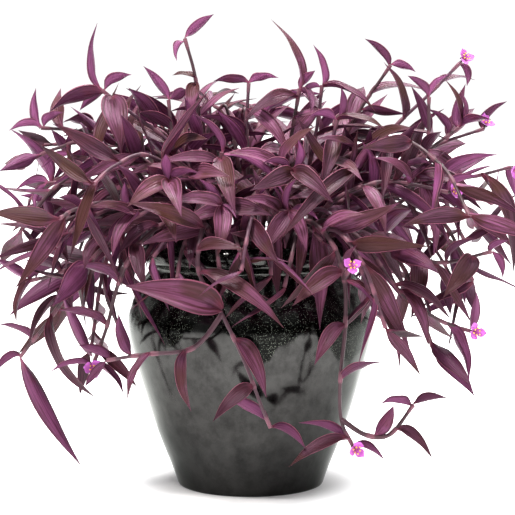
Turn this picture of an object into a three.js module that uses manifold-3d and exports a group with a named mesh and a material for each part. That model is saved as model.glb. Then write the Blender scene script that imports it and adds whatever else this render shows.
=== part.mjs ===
// Potted purple heart (Tradescantia pallida) in a round glazed ceramic pot.
// Millimetres, +Z up. The origin is the centre of the pot's flat base, and -Y is the front.

import * as THREE from "three";
import { mergeVertices } from "three/addons/utils/BufferGeometryUtils.js";
import Module from "manifold-3d";

const wasm = await Module();
wasm.setup();

// ---------------------------------------------------------------- driving dimensions

const POT_HEIGHT = 282;
const WALL = 9; // thickness of the ceramic
const FLOOR = 11; // thickness of the pot's base
const POT_SIDES = 32;
// Outer outline of the pot from the foot to the top of the rolled rim: [radius, height].
const POT_OUTLINE = [
  [84.5, 0],
  [86.5, 8],
  [98, 37],
  [109, 65],
  [118, 93],
  [126.5, 121],
  [134.5, 149],
  [140.5, 172],
  [142, 188],
  [138.5, 206],
  [129, 229],
  [115, 250],
  [124, 260],
  [126, 268],
  [123, 277],
  [115, POT_HEIGHT],
];
const MOUTH_RADIUS = 108; // inside the rolled rim
const DRAIN = { count: 3, radius: 5.5, ring: 46, sides: 10 };

const SOIL_TOP = 262;
const GAP = 0.3; // between pieces that touch
const ROOT_DEPTH = 26; // how deep a stem stands in the soil

const STEM_RADIUS = 2.9;
const STEM_TIP = 0.62; // radius at a stem's tip, as a share of its radius at the soil
const STEM_SIDES = 4;
const RINGS_PER_SPAN = 2; // rings of the stem between two points of its route

const ROOT_SINK = 3; // a leaf's root lies in the stem, this far below its node
const BLADE_THICKNESS = 1.7; // at the midrib; it thins to the edges
const CLEARANCE = 0.9; // kept between a leaf and any other stem or leaf
const SHORT_LEAF = 92; // a shorter leaf has one station less
const LEAF_FOLD = 24; // degrees that each half rises from flat
const BRACT_FOLD = 44;
const FULLNESS = 1.14; // of a grown leaf's width over the width in its list
const OUTER_PART = 0.14; // from here to the tip, a leaf also keeps clear of its own stem

// Width of a leaf between its root and its tip, as [station, share of the full width].
const LONG_STATIONS = [
  [0.2, 0.86],
  [0.48, 1],
  [0.77, 0.66],
];
const SHORT_STATIONS = [
  [0.28, 1],
  [0.66, 0.8],
];

// A leaf that would cross something is turned about its stem and lifted, in this order, in degrees
// [turn, lift], first at full length and then shorter.
const BENDS = [
  [0, 0],
  [12, 0],
  [-12, 0],
  [0, 12],
  [0, -12],
  [24, 0],
  [-24, 0],
  [12, 12],
  [-12, 12],
  [12, -12],
  [-12, -12],
  [0, 24],
  [0, -24],
  [38, 0],
  [-38, 0],
  [30, 16],
  [-30, 16],
  [30, -16],
  [-30, -16],
  [52, 8],
  [-52, 8],
];
const SHRINKS = [1, 0.82, 0.66];

const STALK_LENGTH = 7; // of a flower
const STALK_RADIUS = 1.7;
const PETALS = 3;
const PETAL_THICKNESS = 0.9;
// Half the outline of the flower is mirrored by its order: valley, shoulder, tip, shoulder of one petal,
// each as [distance from the flower's axis, height above its heart].
const PETAL_OUTLINE = [
  [3.4, 1.2],
  [10.8, 4.6],
  [13, 6.2],
  [10.8, 4.6],
];

const COLOURS = {
  pot: 0x14120f,
  soil: 0x2e2118,
  leaf: 0x6a4a66,
  flower: 0xdf7fd8,
};

// ---------------------------------------------------------------- the leafy stems
//
// Each stem: a route of [x, y, z] from the soil, side branches that leave it, and its leaves and bracts as
// [place, x, y, z, width, turn]. Place counts the points of the route, so 2.5 lies between points 2 and 3.
// x, y, z go from the stem to the tip. Turn is in degrees: 90 turns the upper face to the front, -90 to
// the back. Bracts are the folded leaves round a bud. A leaf on a branch is listed with the branch.

const SHOOTS = [
  {
    // upper left, a star of leaves at its tip
    route: [[-30, -10], [-48, -12, 330], [-90, -15, 392], [-135, -20, 428], [-168, -25, 454]],
    leaves: [
      [4, -5, -10, 76, 14, 0],
      [3.85, -66, -20, -22, 19, -40],
      [3.7, 14, -48, -58, 28, 20],
      [3.4, -18, -45, -62, 20, 10],
      [2.4, -30, -30, 50, 20, 0],
      [1.6, 40, -35, 40, 20, 0],
    ],
    bracts: [[4, 34, -22, 18, 19, -50], [4, -28, 12, -22, 15, -60]],
  },
  {
    // tall, left of the middle
    route: [[-22, 2], [-44, 12, 340], [-58, 6, 415], [-63, 0, 468], [-75, 0, 513]],
    leaves: [
      [3, -22, -8, 16, 13, 0],
      [3, 14, -8, 14, 12, 0],
      [2.9, -4, -22, -34, 16, 0],
      [2, 45, 10, 45, 20, 0],
      [1.4, -60, 25, 30, 22, 0],
    ],
    bracts: [[4, 33, -8, 29, 15, -60], [4, -9, -16, -24, 14, -60]],
  },
  {
    route: [[-48, -32], [-72, -34, 330], [-86, -36, 387], [-92, -38, 443]],
    leaves: [
      [2.35, -34, -8, 32, 20, -30],
      [1.9, 38, -42, 20, 20, 20],
      [1.3, -62, -34, 22, 22, 30],
    ],
    bracts: [[3, -28, -5, 40, 14, -60], [3, 20, -20, 14, 14, -60]],
  },
  {
    // top middle, two arched leaves
    route: [[-6, 2], [-8, -4, 340], [-5, -6, 410], [-2, -10, 462]],
    leaves: [
      [3, -40, -12, 4, 14, -40],
      [3, 34, -12, 8, 13, -40],
      [2.4, 50, -42, -52, 19, 25],
      [1.8, -52, -30, 30, 20, 0],
      [1.3, 50, -50, 14, 22, 20],
    ],
    bracts: [],
  },
  {
    // top, right of the middle, with the tall leaf
    route: [[22, -4], [36, -10, 340], [48, -10, 410], [56, -10, 456]],
    leaves: [
      [3, -32, 6, 80, 16, 0],
      [2.8, -62, -22, -26, 22, 30],
      [2.2, 34, -20, 26, 16, 0],
      [1.5, -38, -60, 6, 22, 30],
    ],
    bracts: [[3, 18, -6, 22, 13, -50], [3, 12, -26, -26, 15, -50]],
  },
  {
    route: [[42, 14], [62, 8, 340], [76, 4, 410], [82, 2, 460]],
    leaves: [
      [3, 62, -14, -30, 16, 10],
      [2.3, -30, 30, 32, 18, 0],
      [1.5, 66, 20, 26, 20, 0],
    ],
    bracts: [[3, -10, 0, 48, 14, -50], [3, -24, -14, -10, 13, -50]],
  },
  {
    // upper right, a pair of bracts
    route: [[56, 26], [82, 24, 340], [119, 18, 419], [161, 10, 483]],
    leaves: [
      [2.45, 72, 4, 6, 18, 0],
      [1.9, 20, 50, 50, 20, 0],
      [1.4, 66, -14, -8, 20, 30],
    ],
    bracts: [[3, -29, -6, 32, 16, -50], [3, 29, -12, -6, 15, -50]],
  },
  {
    // upper right, a tall bract and a flower
    route: [[68, 4], [104, 2, 345], [165, 0, 412], [205, 0, 450], [240, -2, 486]],
    flower: [0.45, -0.7, 0.5],
    leaves: [
      [3.2, 48, 26, 22, 16, 0],
      [2.2, -14, 30, 62, 18, 0],
      [1.5, 58, -36, 18, 22, 20],
    ],
    bracts: [[4, -18, 6, 58, 15, -50], [4, 8, -6, -26, 13, -60]],
  },
  {
    route: [[58, -22], [106, -38, 310], [170, -54, 330], [196, -56, 385], [199, -56, 446]],
    leaves: [
      [3.3, -26, -12, 54, 13, -30],
      [2.5, 62, -36, -14, 22, 30],
      [1.8, -12, -60, 26, 20, 20],
    ],
    bracts: [[4, -25, -8, 26, 15, -40], [4, 22, 4, 28, 13, -50]],
  },
  {
    // right, a star of narrow leaves
    route: [[74, -14], [124, -20, 320], [186, -22, 374], [237, -20, 412]],
    leaves: [
      [3, -15, 0, 56, 13, 0],
      [3, 15, -10, 50, 13, -30],
      [3, 36, -16, 24, 14, -30],
      [2.8, -28, -12, 30, 12, 0],
      [2.2, 44, -46, -34, 20, 20],
      [1.4, 20, -58, 24, 20, 20],
    ],
    bracts: [[3, 4, 12, 44, 12, -30]],
  },
  {
    // far right, a flower
    route: [[70, 32], [126, 38, 332], [208, 32, 386], [270, 20, 410]],
    flower: [0.2, -0.6, 0.8],
    leaves: [
      [2.3, 40, 40, 40, 18, 0],
      [1.7, 44, -12, 62, 20, 0],
      [1.3, 46, 54, -4, 22, 0],
    ],
    bracts: [[3, 32, -8, 28, 16, -40], [3, -6, 10, 40, 13, -40]],
  },
  {
    // right, with the broad leaf that hangs at the edge
    route: [[50, -36], [98, -48, 326], [180, -66, 348], [244, -64, 357], [290, -58, 368]],
    flower: [0.5, -0.7, -0.3],
    leaves: [
      [3.25, 36, -24, -108, 30, 30],
      [2.5, 62, -16, 30, 19, -20],
      [2.1, 18, -52, -70, 22, 20],
      [1.4, -6, -44, 62, 20, 10],
    ],
    bracts: [[4, 16, -6, 30, 14, -40], [4, 10, 14, -34, 14, -50]],
  },
  {
    // right front, a bright leaf over the rim and a flower
    route: [[48, -54], [80, -80, 320], [136, -96, 352], [180, -100, 350], [216, -100, 342]],
    flower: [0.6, -0.7, 0.2],
    leaves: [
      [2, 92, -30, -78, 18, -30],
      [1.8, 24, -52, -50, 18, 20],
      [2.9, -42, -26, 30, 18, 20],
      [1.2, -46, -52, 10, 20, 20],
    ],
    bracts: [[4, 34, -4, 22, 14, -50], [4, 20, -16, -34, 14, -50]],
  },
  {
    // low right, leaning out
    route: [[70, -28], [106, -58, 306], [152, -80, 286], [206, -88, 264], [266, -90, 276]],
    leaves: [
      [3.7, -36, -34, -42, 20, 20],
      [3.2, 34, -10, 26, 13, 0],
      [2.6, -4, -50, -58, 20, 20],
      [1.9, 30, -46, 34, 20, 20],
    ],
    bracts: [[4, 30, -6, 10, 14, -50], [4, 14, -10, -28, 14, -50]],
  },
  {
    // low right, hanging, with a flower
    route: [
      [36, -48],
      [74, -92, 308],
      [118, -122, 294],
      [158, -130, 240],
      [203, -128, 206],
      [240, -126, 192],
    ],
    flower: [0.4, -0.9, 0.1],
    leaves: [
      [3, 60, -14, -36, 19, 30],
      [3.1, 30, -30, -58, 22, 30],
      [4.2, 38, -14, -58, 18, -40],
      [2.2, 52, -40, 10, 18, 20],
    ],
    bracts: [[5, 42, -8, -14, 15, -50], [5, 6, -6, 44, 14, -50]],
  },
  {
    // front right, hanging down the pot to its foot
    route: [
      [28, -54],
      [56, -98, 308],
      [86, -136, 292],
      [101, -144, 251],
      [102, -149, 200],
      [97, -152, 146],
      [98, -150, 100],
      [111, -150, 70],
    ],
    flower: [0.3, -0.95, -0.1],
    leaves: [
      [3.05, 60, -14, -100, 18, -30],
      [2.9, -54, -18, -34, 20, 30],
      [4, -34, -30, -40, 18, 20],
      [1.8, 44, -28, 22, 18, 20],
      [5.2, 44, -20, 26, 15, 0],
      [6.8, -66, -16, -26, 17, 10],
    ],
    bracts: [[7, -58, -8, 26, 15, -50], [7, 34, -8, -14, 13, -50]],
    branches: [
      {
        route: [[101, -144, 251], [103, -152, 257], [106, -162, 264]],
        flower: [0.2, -0.9, 0.4],
        leaves: [],
        bracts: [[2, 4, -6, 28, 12, -50]],
      },
      {
        route: [[98, -150, 100], [124, -154, 84], [150, -153, 84], [176, -150, 116]],
        leaves: [
          [2.3, 40, -12, -30, 16, 30],
          [1.4, 20, -26, 38, 14, 20],
        ],
        bracts: [[3, -34, -8, 6, 16, -50], [3, 38, -8, 12, 16, -50]],
      },
    ],
  },
  {
    // front middle, hanging down the pot
    route: [
      [-34, -68],
      [-46, -106, 304],
      [-54, -136, 292],
      [-54, -144, 256],
      [-30, -152, 214],
      [-6, -158, 164],
      [12, -158, 116],
      [22, -156, 92],
    ],
    leaves: [
      [3, 90, -34, -56, 20, 30],
      [2.4, 50, -34, 4, 17, 30],
      [4, -100, -26, 30, 33, 50],
      [4.6, 34, -28, -58, 20, 30],
      [1.6, -80, -26, 30, 19, 30],
      [5.6, -44, -20, -34, 16, 20],
    ],
    bracts: [[7, -47, -12, 32, 19, -60], [7, 38, -10, -22, 17, -50]],
    branches: [
      {
        route: [[-30, -152, 214], [-48, -160, 190], [-68, -160, 176], [-112, -154, 171], [-154, -142, 163]],
        leaves: [
          [2, 4, -26, -62, 17, 20],
          [2.9, -26, -30, -46, 16, 20],
          [3.4, -14, -16, 48, 15, 0],
        ],
        bracts: [[4, -34, -4, 16, 14, -50], [4, -22, -4, -34, 13, -50]],
      },
    ],
  },
  {
    // left, hanging, with a flower and a long bright bract
    route: [
      [-46, -52],
      [-78, -90, 307],
      [-118, -118, 290],
      [-142, -122, 246],
      [-156, -122, 196],
      [-172, -124, 152],
    ],
    flower: [0.2, -0.95, 0.1],
    leaves: [
      [3.1, -48, -20, 20, 17, 0],
      [4.05, -58, -14, 22, 17, -30],
      [2.2, 12, -52, -44, 17, 20],
      [1.5, -46, -36, -30, 18, 20],
      [4.6, 40, -22, -38, 13, 20],
    ],
    bracts: [[5, 34, -8, -30, 14, -40], [5, -46, -8, -6, 13, -30], [4.9, -34, -10, 78, 17, -40]],
  },
  {
    // far left, hanging
    route: [[-58, -40], [-98, -64, 310], [-152, -86, 290], [-196, -84, 238], [-226, -72, 196], [-258, -62, 156]],
    leaves: [
      [3.3, -40, -16, -58, 17, 20],
      [3.8, 50, -26, -92, 21, 30],
      [2.1, -10, -50, -50, 20, 20],
      [1.5, -44, -40, 18, 18, 20],
      [4.6, -38, -8, 20, 14, 0],
    ],
    bracts: [[5, 68, -18, -124, 19, -40], [5, -34, 0, -24, 14, -40]],
  },
  {
    // left
    route: [[-68, -20], [-108, -28, 300], [-142, -32, 310], [-184, -32, 311], [-226, -30, 304]],
    leaves: [
      [4, -46, -14, -10, 18, 20],
      [3.7, 8, -34, -46, 15, 20],
      [3, 62, -34, 36, 16, 0],
      [2.3, -24, -46, -46, 20, 20],
      [1.5, -40, -10, 58, 20, 0],
    ],
    bracts: [[4, -12, -8, 40, 15, -50], [4, -28, -20, -34, 14, -50]],
  },
  {
    // left, higher, with a broad leaf
    route: [[-72, 12], [-116, 12, 322], [-170, 10, 346], [-234, 4, 348]],
    leaves: [
      [3, -42, -18, 62, 22, 30],
      [2.8, 48, -38, -4, 18, 20],
      [2.3, -36, 40, 24, 20, 0],
      [1.6, -20, -40, 58, 20, 10],
    ],
    bracts: [[3, -40, 4, -8, 15, -50], [3, -14, -24, -30, 13, -50]],
  },
  {
    // left, drooping
    route: [[-66, -28], [-110, -42, 308], [-162, -54, 278], [-212, -48, 250], [-254, -42, 238]],
    leaves: [
      [2, -34, -42, -44, 21, 20],
      [3.1, -40, -16, 26, 18, 0],
      [2.7, -4, -40, -62, 18, 20],
      [3.8, -30, -8, -44, 16, 10],
    ],
    bracts: [[4, 42, -20, 4, 15, -50], [4, -34, -8, 26, 17, -40]],
  },
  {
    // upper left, leaning out
    route: [[-56, 32], [-90, 42, 360], [-152, 34, 398], [-205, 22, 408], [-242, 14, 411]],
    leaves: [
      [3.3, -8, 34, 48, 18, 0],
      [2.6, -30, -50, 12, 20, 20],
      [1.9, 14, 20, 66, 20, 0],
    ],
    bracts: [[4, -6, -6, 46, 15, -50], [4, 26, -16, 18, 16, -50], [4, -38, 2, 4, 15, -40]],
  },
  {
    route: [[-76, -8], [-118, -8, 332], [-166, -12, 370], [-205, -16, 380]],
    leaves: [
      [3, 8, -16, 32, 13, 0],
      [2.6, -36, -12, 38, 17, 0],
      [2.4, 26, -44, -14, 17, 20],
      [1.6, -40, -48, -6, 20, 20],
    ],
    bracts: [[3, -22, -10, 30, 13, -40], [3, -34, -12, -14, 13, -40]],
  },
  {
    // front of the crown, towards the viewer
    route: [[-18, -36], [-28, -52, 325], [-32, -66, 385]],
    leaves: [
      [1.9, 16, -68, -58, 22, 20],
      [1.7, -74, -34, 6, 20, 30],
      [1.2, -34, -60, -20, 22, 20],
    ],
    bracts: [[2, 78, -20, -42, 17, -40], [2, -32, 6, 44, 16, -30]],
  },
  {
    route: [[50, -30], [72, -38, 330], [88, -44, 380], [97, -46, 420]],
    leaves: [
      [3, 54, -10, -8, 16, 0],
      [2.5, -14, -48, -50, 18, 20],
      [1.8, 60, -40, -20, 20, 20],
      [1.3, -30, -62, 14, 20, 20],
    ],
    bracts: [[3, -32, -20, 6, 16, -30], [3, 4, -10, 40, 14, -40]],
  },
  {
    route: [[40, -34], [70, -62, 318], [98, -76, 346], [117, -78, 364]],
    leaves: [
      [3, -26, -46, -52, 18, 20],
      [2.4, 48, -44, 22, 18, 20],
      [1.7, -56, -52, -8, 20, 30],
    ],
    bracts: [[3, -118, -30, -44, 18, 0], [3, 26, -16, 36, 14, -40]],
  },
  {
    // front left, over the rim
    route: [[-36, -42], [-64, -72, 320], [-98, -104, 326], [-128, -116, 314]],
    leaves: [
      [2, 18, -50, -36, 18, 20],
      [2.6, -26, -32, -56, 19, 20],
      [1.5, -26, -46, 42, 20, 0],
      [3, -50, -14, 12, 16, 20],
    ],
    bracts: [[3, -8, -20, 40, 14, -40], [3, -26, -24, -26, 14, -40]],
  },
  {
    // middle front, low, left of the middle
    route: [[-8, -50], [-18, -86, 316], [-32, -114, 326]],
    leaves: [
      [2, -54, -28, 8, 19, 30],
      [2, 8, -40, -46, 19, 20],
      [1.5, 48, -34, -6, 19, 30],
      [1.25, -56, -34, -14, 19, 30],
    ],
    bracts: [[2, -8, -22, 36, 14, -40], [2, 30, -26, 16, 14, -30]],
  },
  {
    // middle front, low, right of the middle
    route: [[14, -54], [28, -90, 314], [42, -118, 322]],
    leaves: [
      [2, 48, -30, -30, 19, 30],
      [2, -30, -34, -42, 18, 20],
      [1.5, 54, -30, 22, 19, 20],
      [1.25, -38, -44, 10, 18, 30],
    ],
    bracts: [[2, 8, -24, 36, 14, -40], [2, 36, -20, 6, 14, -30]],
  },
  {
    // middle front, higher, right of the middle
    route: [[8, -26], [20, -50, 346], [34, -82, 370], [46, -106, 364]],
    leaves: [
      [3, 44, -34, -32, 20, 30],
      [3, -28, -40, -38, 18, 20],
      [2.2, 54, -20, 30, 19, 10],
      [1.7, -54, -26, 18, 20, 20],
      [1.3, 50, -50, -10, 20, 30],
    ],
    bracts: [[3, 6, -24, 36, 15, -40], [3, -34, -22, 10, 14, -40]],
  },
  {
    // middle front, higher, left of the middle
    route: [[-30, -34], [-52, -58, 342], [-72, -88, 360], [-88, -110, 352]],
    leaves: [
      [3, -44, -34, -24, 20, 30],
      [3, 12, -42, -52, 19, 20],
      [2.2, -54, -20, 36, 19, 0],
      [1.6, 42, -44, 14, 18, 30],
      [1.3, -60, -30, 6, 20, 30],
    ],
    bracts: [[3, -10, -24, 34, 15, -40], [3, 32, -24, 12, 14, -40]],
  },
];

// The stems at the sides and the back follow one rule: they fan out between two angles, with leaves on
// alternate sides. Angles are in degrees from +X towards +Y.
const BACK_STEMS = 14;
const BACK_FAN = [18, 166];
const BACK_SOIL_RADIUS = [34, 66, 56];
const BACK_TOP = [410, 378, 344]; // height of the tallest point
const BACK_REACH = [150, 208, 250]; // how far from the pot's axis it ends
const BACK_DROP = [0, 26, 96]; // how far the tip hangs below the tallest point
const BACK_LEAVES = 7;
const BACK_LEAF_LENGTH = [104, 66]; // near the soil and near the tip
const BACK_LEAF_WIDTH = [25, 17];
const SEED = 41;

// ---------------------------------------------------------------- small helpers

const UP = new THREE.Vector3(0, 0, 1);
const FRONT = new THREE.Vector3(0, -1, 0);
const vector = (list) => new THREE.Vector3(...list);
const mix = (a, b, share) => a + (b - a) * share;

/** A repeatable number from -1 to 1 for the item `index` and the purpose `salt`. */
function jitter(index, salt) {
  const wave = Math.sin(index * 12.9898 + salt * 78.233 + SEED) * 43758.5453;
  return 2 * (wave - Math.floor(wave)) - 1;
}

/** A closed mesh through rings of points with equal counts; `start` and `end` may close it in a point. */
function loft(rings, { start = null, end = null } = {}) {
  const count = rings[0].length;
  const corners = rings.flat();
  const faces = [];
  const at = (ring, place) => ring * count + (place % count);
  for (let ring = 0; ring < rings.length - 1; ring += 1) {
    for (let i = 0; i < count; i += 1) {
      const [a, b, c, d] = [at(ring, i), at(ring, i + 1), at(ring + 1, i + 1), at(ring + 1, i)];
      // the diagonals of a blade's upper and lower face are alike, so the faces stay apart
      const flip = count === 4 && i > 1;
      if (flip) faces.push(a, b, d, b, c, d);
      else faces.push(a, b, c, a, c, d);
    }
  }
  const close = (ring, point, turn) => {
    for (let i = point ? 0 : 1; i < (point ? count : count - 1); i += 1) {
      const hub = point ? corners.length : at(ring, 0);
      const edge = [at(ring, i), at(ring, i + 1)];
      faces.push(hub, ...(turn ? edge.reverse() : edge));
    }
    if (point) corners.push(point);
  };
  close(0, start, true);
  close(rings.length - 1, end, false);
  const geometry = new THREE.BufferGeometry();
  const numbers = new Float32Array(corners.flatMap((p) => [p.x, p.y, p.z]));
  geometry.setAttribute("position", new THREE.BufferAttribute(numbers, 3));
  geometry.setIndex(faces);
  return geometry;
}

/** A manifold solid from any closed three.js geometry. */
function solid(geometry) {
  const plain = geometry.clone();
  plain.deleteAttribute("normal");
  plain.deleteAttribute("uv");
  const merged = mergeVertices(plain, 1e-4);
  const mesh = new wasm.Mesh({
    numProp: 3,
    vertProperties: new Float32Array(merged.attributes.position.array),
    triVerts: new Uint32Array(merged.index.array),
  });
  return new wasm.Manifold(mesh);
}

/** A three.js geometry from a manifold solid. */
function geometryOf(shape) {
  const mesh = shape.getMesh();
  const geometry = new THREE.BufferGeometry();
  geometry.setAttribute("position", new THREE.BufferAttribute(mesh.vertProperties, 3));
  geometry.setIndex(new THREE.BufferAttribute(mesh.triVerts, 1));
  geometry.computeVertexNormals();
  return geometry;
}

function meshNode(name, geometry, colour, roughness) {
  const material = new THREE.MeshStandardMaterial({ color: colour, roughness, metalness: 0 });
  const node = new THREE.Mesh(geometry, material);
  node.name = name;
  return node;
}

// ---------------------------------------------------------------- pot and soil

/** Radius of the pot's outer face at a height. */
function potRadius(height) {
  const above = POT_OUTLINE.findIndex(([, z]) => z > height);
  const [r0, z0] = POT_OUTLINE[above - 1];
  const [r1, z1] = POT_OUTLINE[above];
  return mix(r0, r1, (height - z0) / (z1 - z0));
}

/** Inner face of the pot's wall, from the top down to the middle of its floor: [radius, height]. */
function potInside() {
  const heights = [229, 188, 121, FLOOR];
  const wall = heights.map((height) => [potRadius(height) - WALL, height]);
  return [[MOUTH_RADIUS + 1, POT_HEIGHT - 3], [MOUTH_RADIUS - 1, 262], [MOUTH_RADIUS - 1, 246], ...wall];
}

function lathe(outline) {
  const points = outline.map(([radius, height]) => new THREE.Vector2(radius, height));
  const geometry = new THREE.LatheGeometry(points, POT_SIDES);
  geometry.rotateX(Math.PI / 2);
  return geometry;
}

function potSolid() {
  const body = solid(lathe([[0, 0], ...POT_OUTLINE, ...potInside(), [0, FLOOR]]));
  let pot = body;
  for (let i = 0; i < DRAIN.count; i += 1) {
    const hole = new THREE.CylinderGeometry(DRAIN.radius, DRAIN.radius, 3 * FLOOR, DRAIN.sides);
    hole.rotateX(Math.PI / 2);
    hole.translate(DRAIN.ring, 0, 0);
    hole.rotateZ((i / DRAIN.count) * 2 * Math.PI);
    pot = pot.subtract(solid(hole));
  }
  return pot;
}

/** The soil fills the pot, domed a little, with a hole for every stem. */
function soilSolid(stems) {
  const inside = potInside()
    .filter(([, height]) => height < SOIL_TOP - 6)
    .reverse()
    .map(([radius, height]) => [radius - GAP, Math.max(height, FLOOR + GAP)]);
  const edge = MOUTH_RADIUS - 1 - GAP;
  const outline = [[0, FLOOR + GAP], ...inside, [edge, SOIL_TOP - 5], [60, SOIL_TOP], [0, SOIL_TOP + 3]];
  return stems.reduce((soil, stem) => soil.subtract(stem), solid(lathe(outline)));
}

// ---------------------------------------------------------------- stems, leaves and flowers

/** The curve that a stem follows. A route from the soil names only x and y for its first point. */
function stemCurve(route) {
  const points = route.map((p) => vector(p.length === 2 ? [...p, SOIL_TOP - ROOT_DEPTH] : p));
  return new THREE.CatmullRomCurve3(points, false, "catmullrom", 0.5);
}

/** A point on the axis of the stem's straight pieces, between two of its rings. */
function axisPoint(curve, share) {
  const steps = (curve.points.length - 1) * RINGS_PER_SPAN;
  const ring = Math.min(Math.floor(share * steps), steps - 1);
  const next = curve.getPoint((ring + 1) / steps);
  return curve.getPoint(ring / steps).lerp(next, share * steps - ring);
}

/** A stem as a closed sweep. `extra` makes it thicker and longer, for its hole in the soil. */
function stemSolid(curve, extra = 0) {
  const spans = curve.points.length - 1;
  const steps = spans * RINGS_PER_SPAN;
  const rings = [];
  let side = curve.getTangent(0).cross(new THREE.Vector3(0.3, 1, 0.1)).normalize();
  for (let i = 0; i <= steps; i += 1) {
    const share = i / steps;
    const tangent = curve.getTangent(share);
    const centre = curve.getPoint(share);
    if (i === 0) centre.addScaledVector(tangent, -extra);
    if (i === steps) centre.addScaledVector(tangent, extra);
    side = side.clone().addScaledVector(tangent, -side.dot(tangent)).normalize();
    const other = tangent.clone().cross(side);
    const radius = STEM_RADIUS * mix(1, STEM_TIP, share) + extra;
    const ring = [];
    for (let k = 0; k < STEM_SIDES; k += 1) {
      const angle = (k / STEM_SIDES) * 2 * Math.PI;
      const point = centre.clone().addScaledVector(side, radius * Math.cos(angle));
      ring.push(point.addScaledVector(other, radius * Math.sin(angle)));
    }
    rings.push(ring);
  }
  return solid(loft(rings));
}

/** A folded, arched blade from `root` to `root + reach`, whose upper face looks to `upper`. */
function bladeSolid(leaf, { from = 0, extra = 0 } = {}) {
  const { root, reach, upper, width, fold, arch } = leaf;
  const length = reach.length();
  const stations = length > SHORT_LEAF ? LONG_STATIONS : SHORT_STATIONS;
  const middle = reach.clone().multiplyScalar(0.45).addScaledVector(upper, 2 * arch);
  const across = reach.clone().cross(upper).normalize();
  const slope = THREE.MathUtils.degToRad(fold);
  const place = (s) => {
    const point = root.clone().addScaledVector(middle, 2 * s * (1 - s));
    return point.addScaledVector(reach, s * s);
  };
  const rings = stations
    .map(([s, share]) => {
      const along = middle.clone().multiplyScalar(1 - 2 * s).addScaledVector(reach, s);
      const lift = across.clone().cross(along).normalize();
      const half = (width * share) / 2 + extra;
      const centre = place(s);
      const wing = lift.clone().multiplyScalar(half * Math.sin(slope));
      const left = centre.clone().addScaledVector(across, -half * Math.cos(slope)).add(wing);
      const right = centre.clone().addScaledVector(across, half * Math.cos(slope)).add(wing);
      const top = centre.clone().addScaledVector(lift, BLADE_THICKNESS / 2 + extra);
      const under = centre.clone().addScaledVector(lift, -BLADE_THICKNESS / 2 - extra);
      return [left, top, right, under];
    });
  const start = place(from).addScaledVector(reach, -extra / length);
  const end = place(1).addScaledVector(reach, extra / length);
  return solid(loft(rings, { start, end }));
}

/** Where a leaf's upper face looks: towards the stem's tip and up, then turned about the leaf. */
function upperSide(reach, tangent, turn) {
  const along = reach.clone().normalize();
  const upper = tangent.clone().multiplyScalar(0.5).addScaledVector(UP, 0.8);
  upper.addScaledVector(along, -upper.dot(along)).normalize();
  const quarter = along.clone().cross(upper);
  const sign = quarter.dot(FRONT) < 0 ? -1 : 1;
  return upper.applyAxisAngle(along, sign * THREE.MathUtils.degToRad(turn));
}

function leafAt(curve, [place, x, y, z, width, turn], fold, bend = [0, 0], shrink = 1) {
  const share = place / (curve.points.length - 1);
  const tangent = curve.getTangent(share);
  const reach = new THREE.Vector3(x, y, z).multiplyScalar(shrink);
  const upperBefore = upperSide(reach, tangent, turn);
  const lifting = reach.clone().cross(upperBefore).normalize();
  const [swing, lift] = bend.map(THREE.MathUtils.degToRad);
  const rotate = (v) => v.applyAxisAngle(lifting, lift).applyAxisAngle(tangent, swing);
  const arch = reach.length() * 0.13;
  const root = axisPoint(curve, share - ROOT_SINK / curve.getLength());
  const grown = width * FULLNESS * mix(0.5, 1, shrink);
  return { root, reach: rotate(reach), upper: rotate(upperBefore), width: grown, fold, arch };
}

/** A flower on a short stalk that starts just off the end of its stem: three petals round a heart. */
function flowerSolid(curve, direction) {
  const end = curve.getPoint(1).addScaledVector(curve.getTangent(1), GAP);
  const axis = vector(direction).normalize();
  const side = axis.clone().cross(UP).normalize();
  const other = axis.clone().cross(side);
  const ringAt = (centre, normal, radii, rises) => {
    const a = side.clone().addScaledVector(normal, -side.dot(normal)).normalize();
    const b = normal.clone().cross(a);
    return radii.map((radius, k) => {
      const angle = (k / radii.length) * 2 * Math.PI;
      const point = centre.clone().addScaledVector(a, radius * Math.cos(angle));
      return point.addScaledVector(b, radius * Math.sin(angle)).addScaledVector(normal, rises[k]);
    });
  };
  const round = (radius) => new Array(PETALS * PETAL_OUTLINE.length).fill(radius);
  const heart = end.clone().addScaledVector(axis, STALK_LENGTH);
  const outline = new Array(PETALS).fill(PETAL_OUTLINE).flat();
  const radii = outline.map(([radius]) => radius);
  const rises = outline.map(([, rise]) => rise);
  const upper = rises.map((rise) => rise + PETAL_THICKNESS);
  const rings = [
    ringAt(end, curve.getTangent(1), round(STALK_RADIUS), round(0)),
    ringAt(heart, axis, round(STALK_RADIUS + 0.6), round(0)),
    ringAt(heart, axis, radii, rises),
    ringAt(heart, axis, radii, upper),
  ];
  const middle = heart.clone().addScaledVector(axis, 2 * PETAL_THICKNESS);
  return solid(loft(rings, { end: middle }));
}

// ---------------------------------------------------------------- the stems of the sides and back

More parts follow.
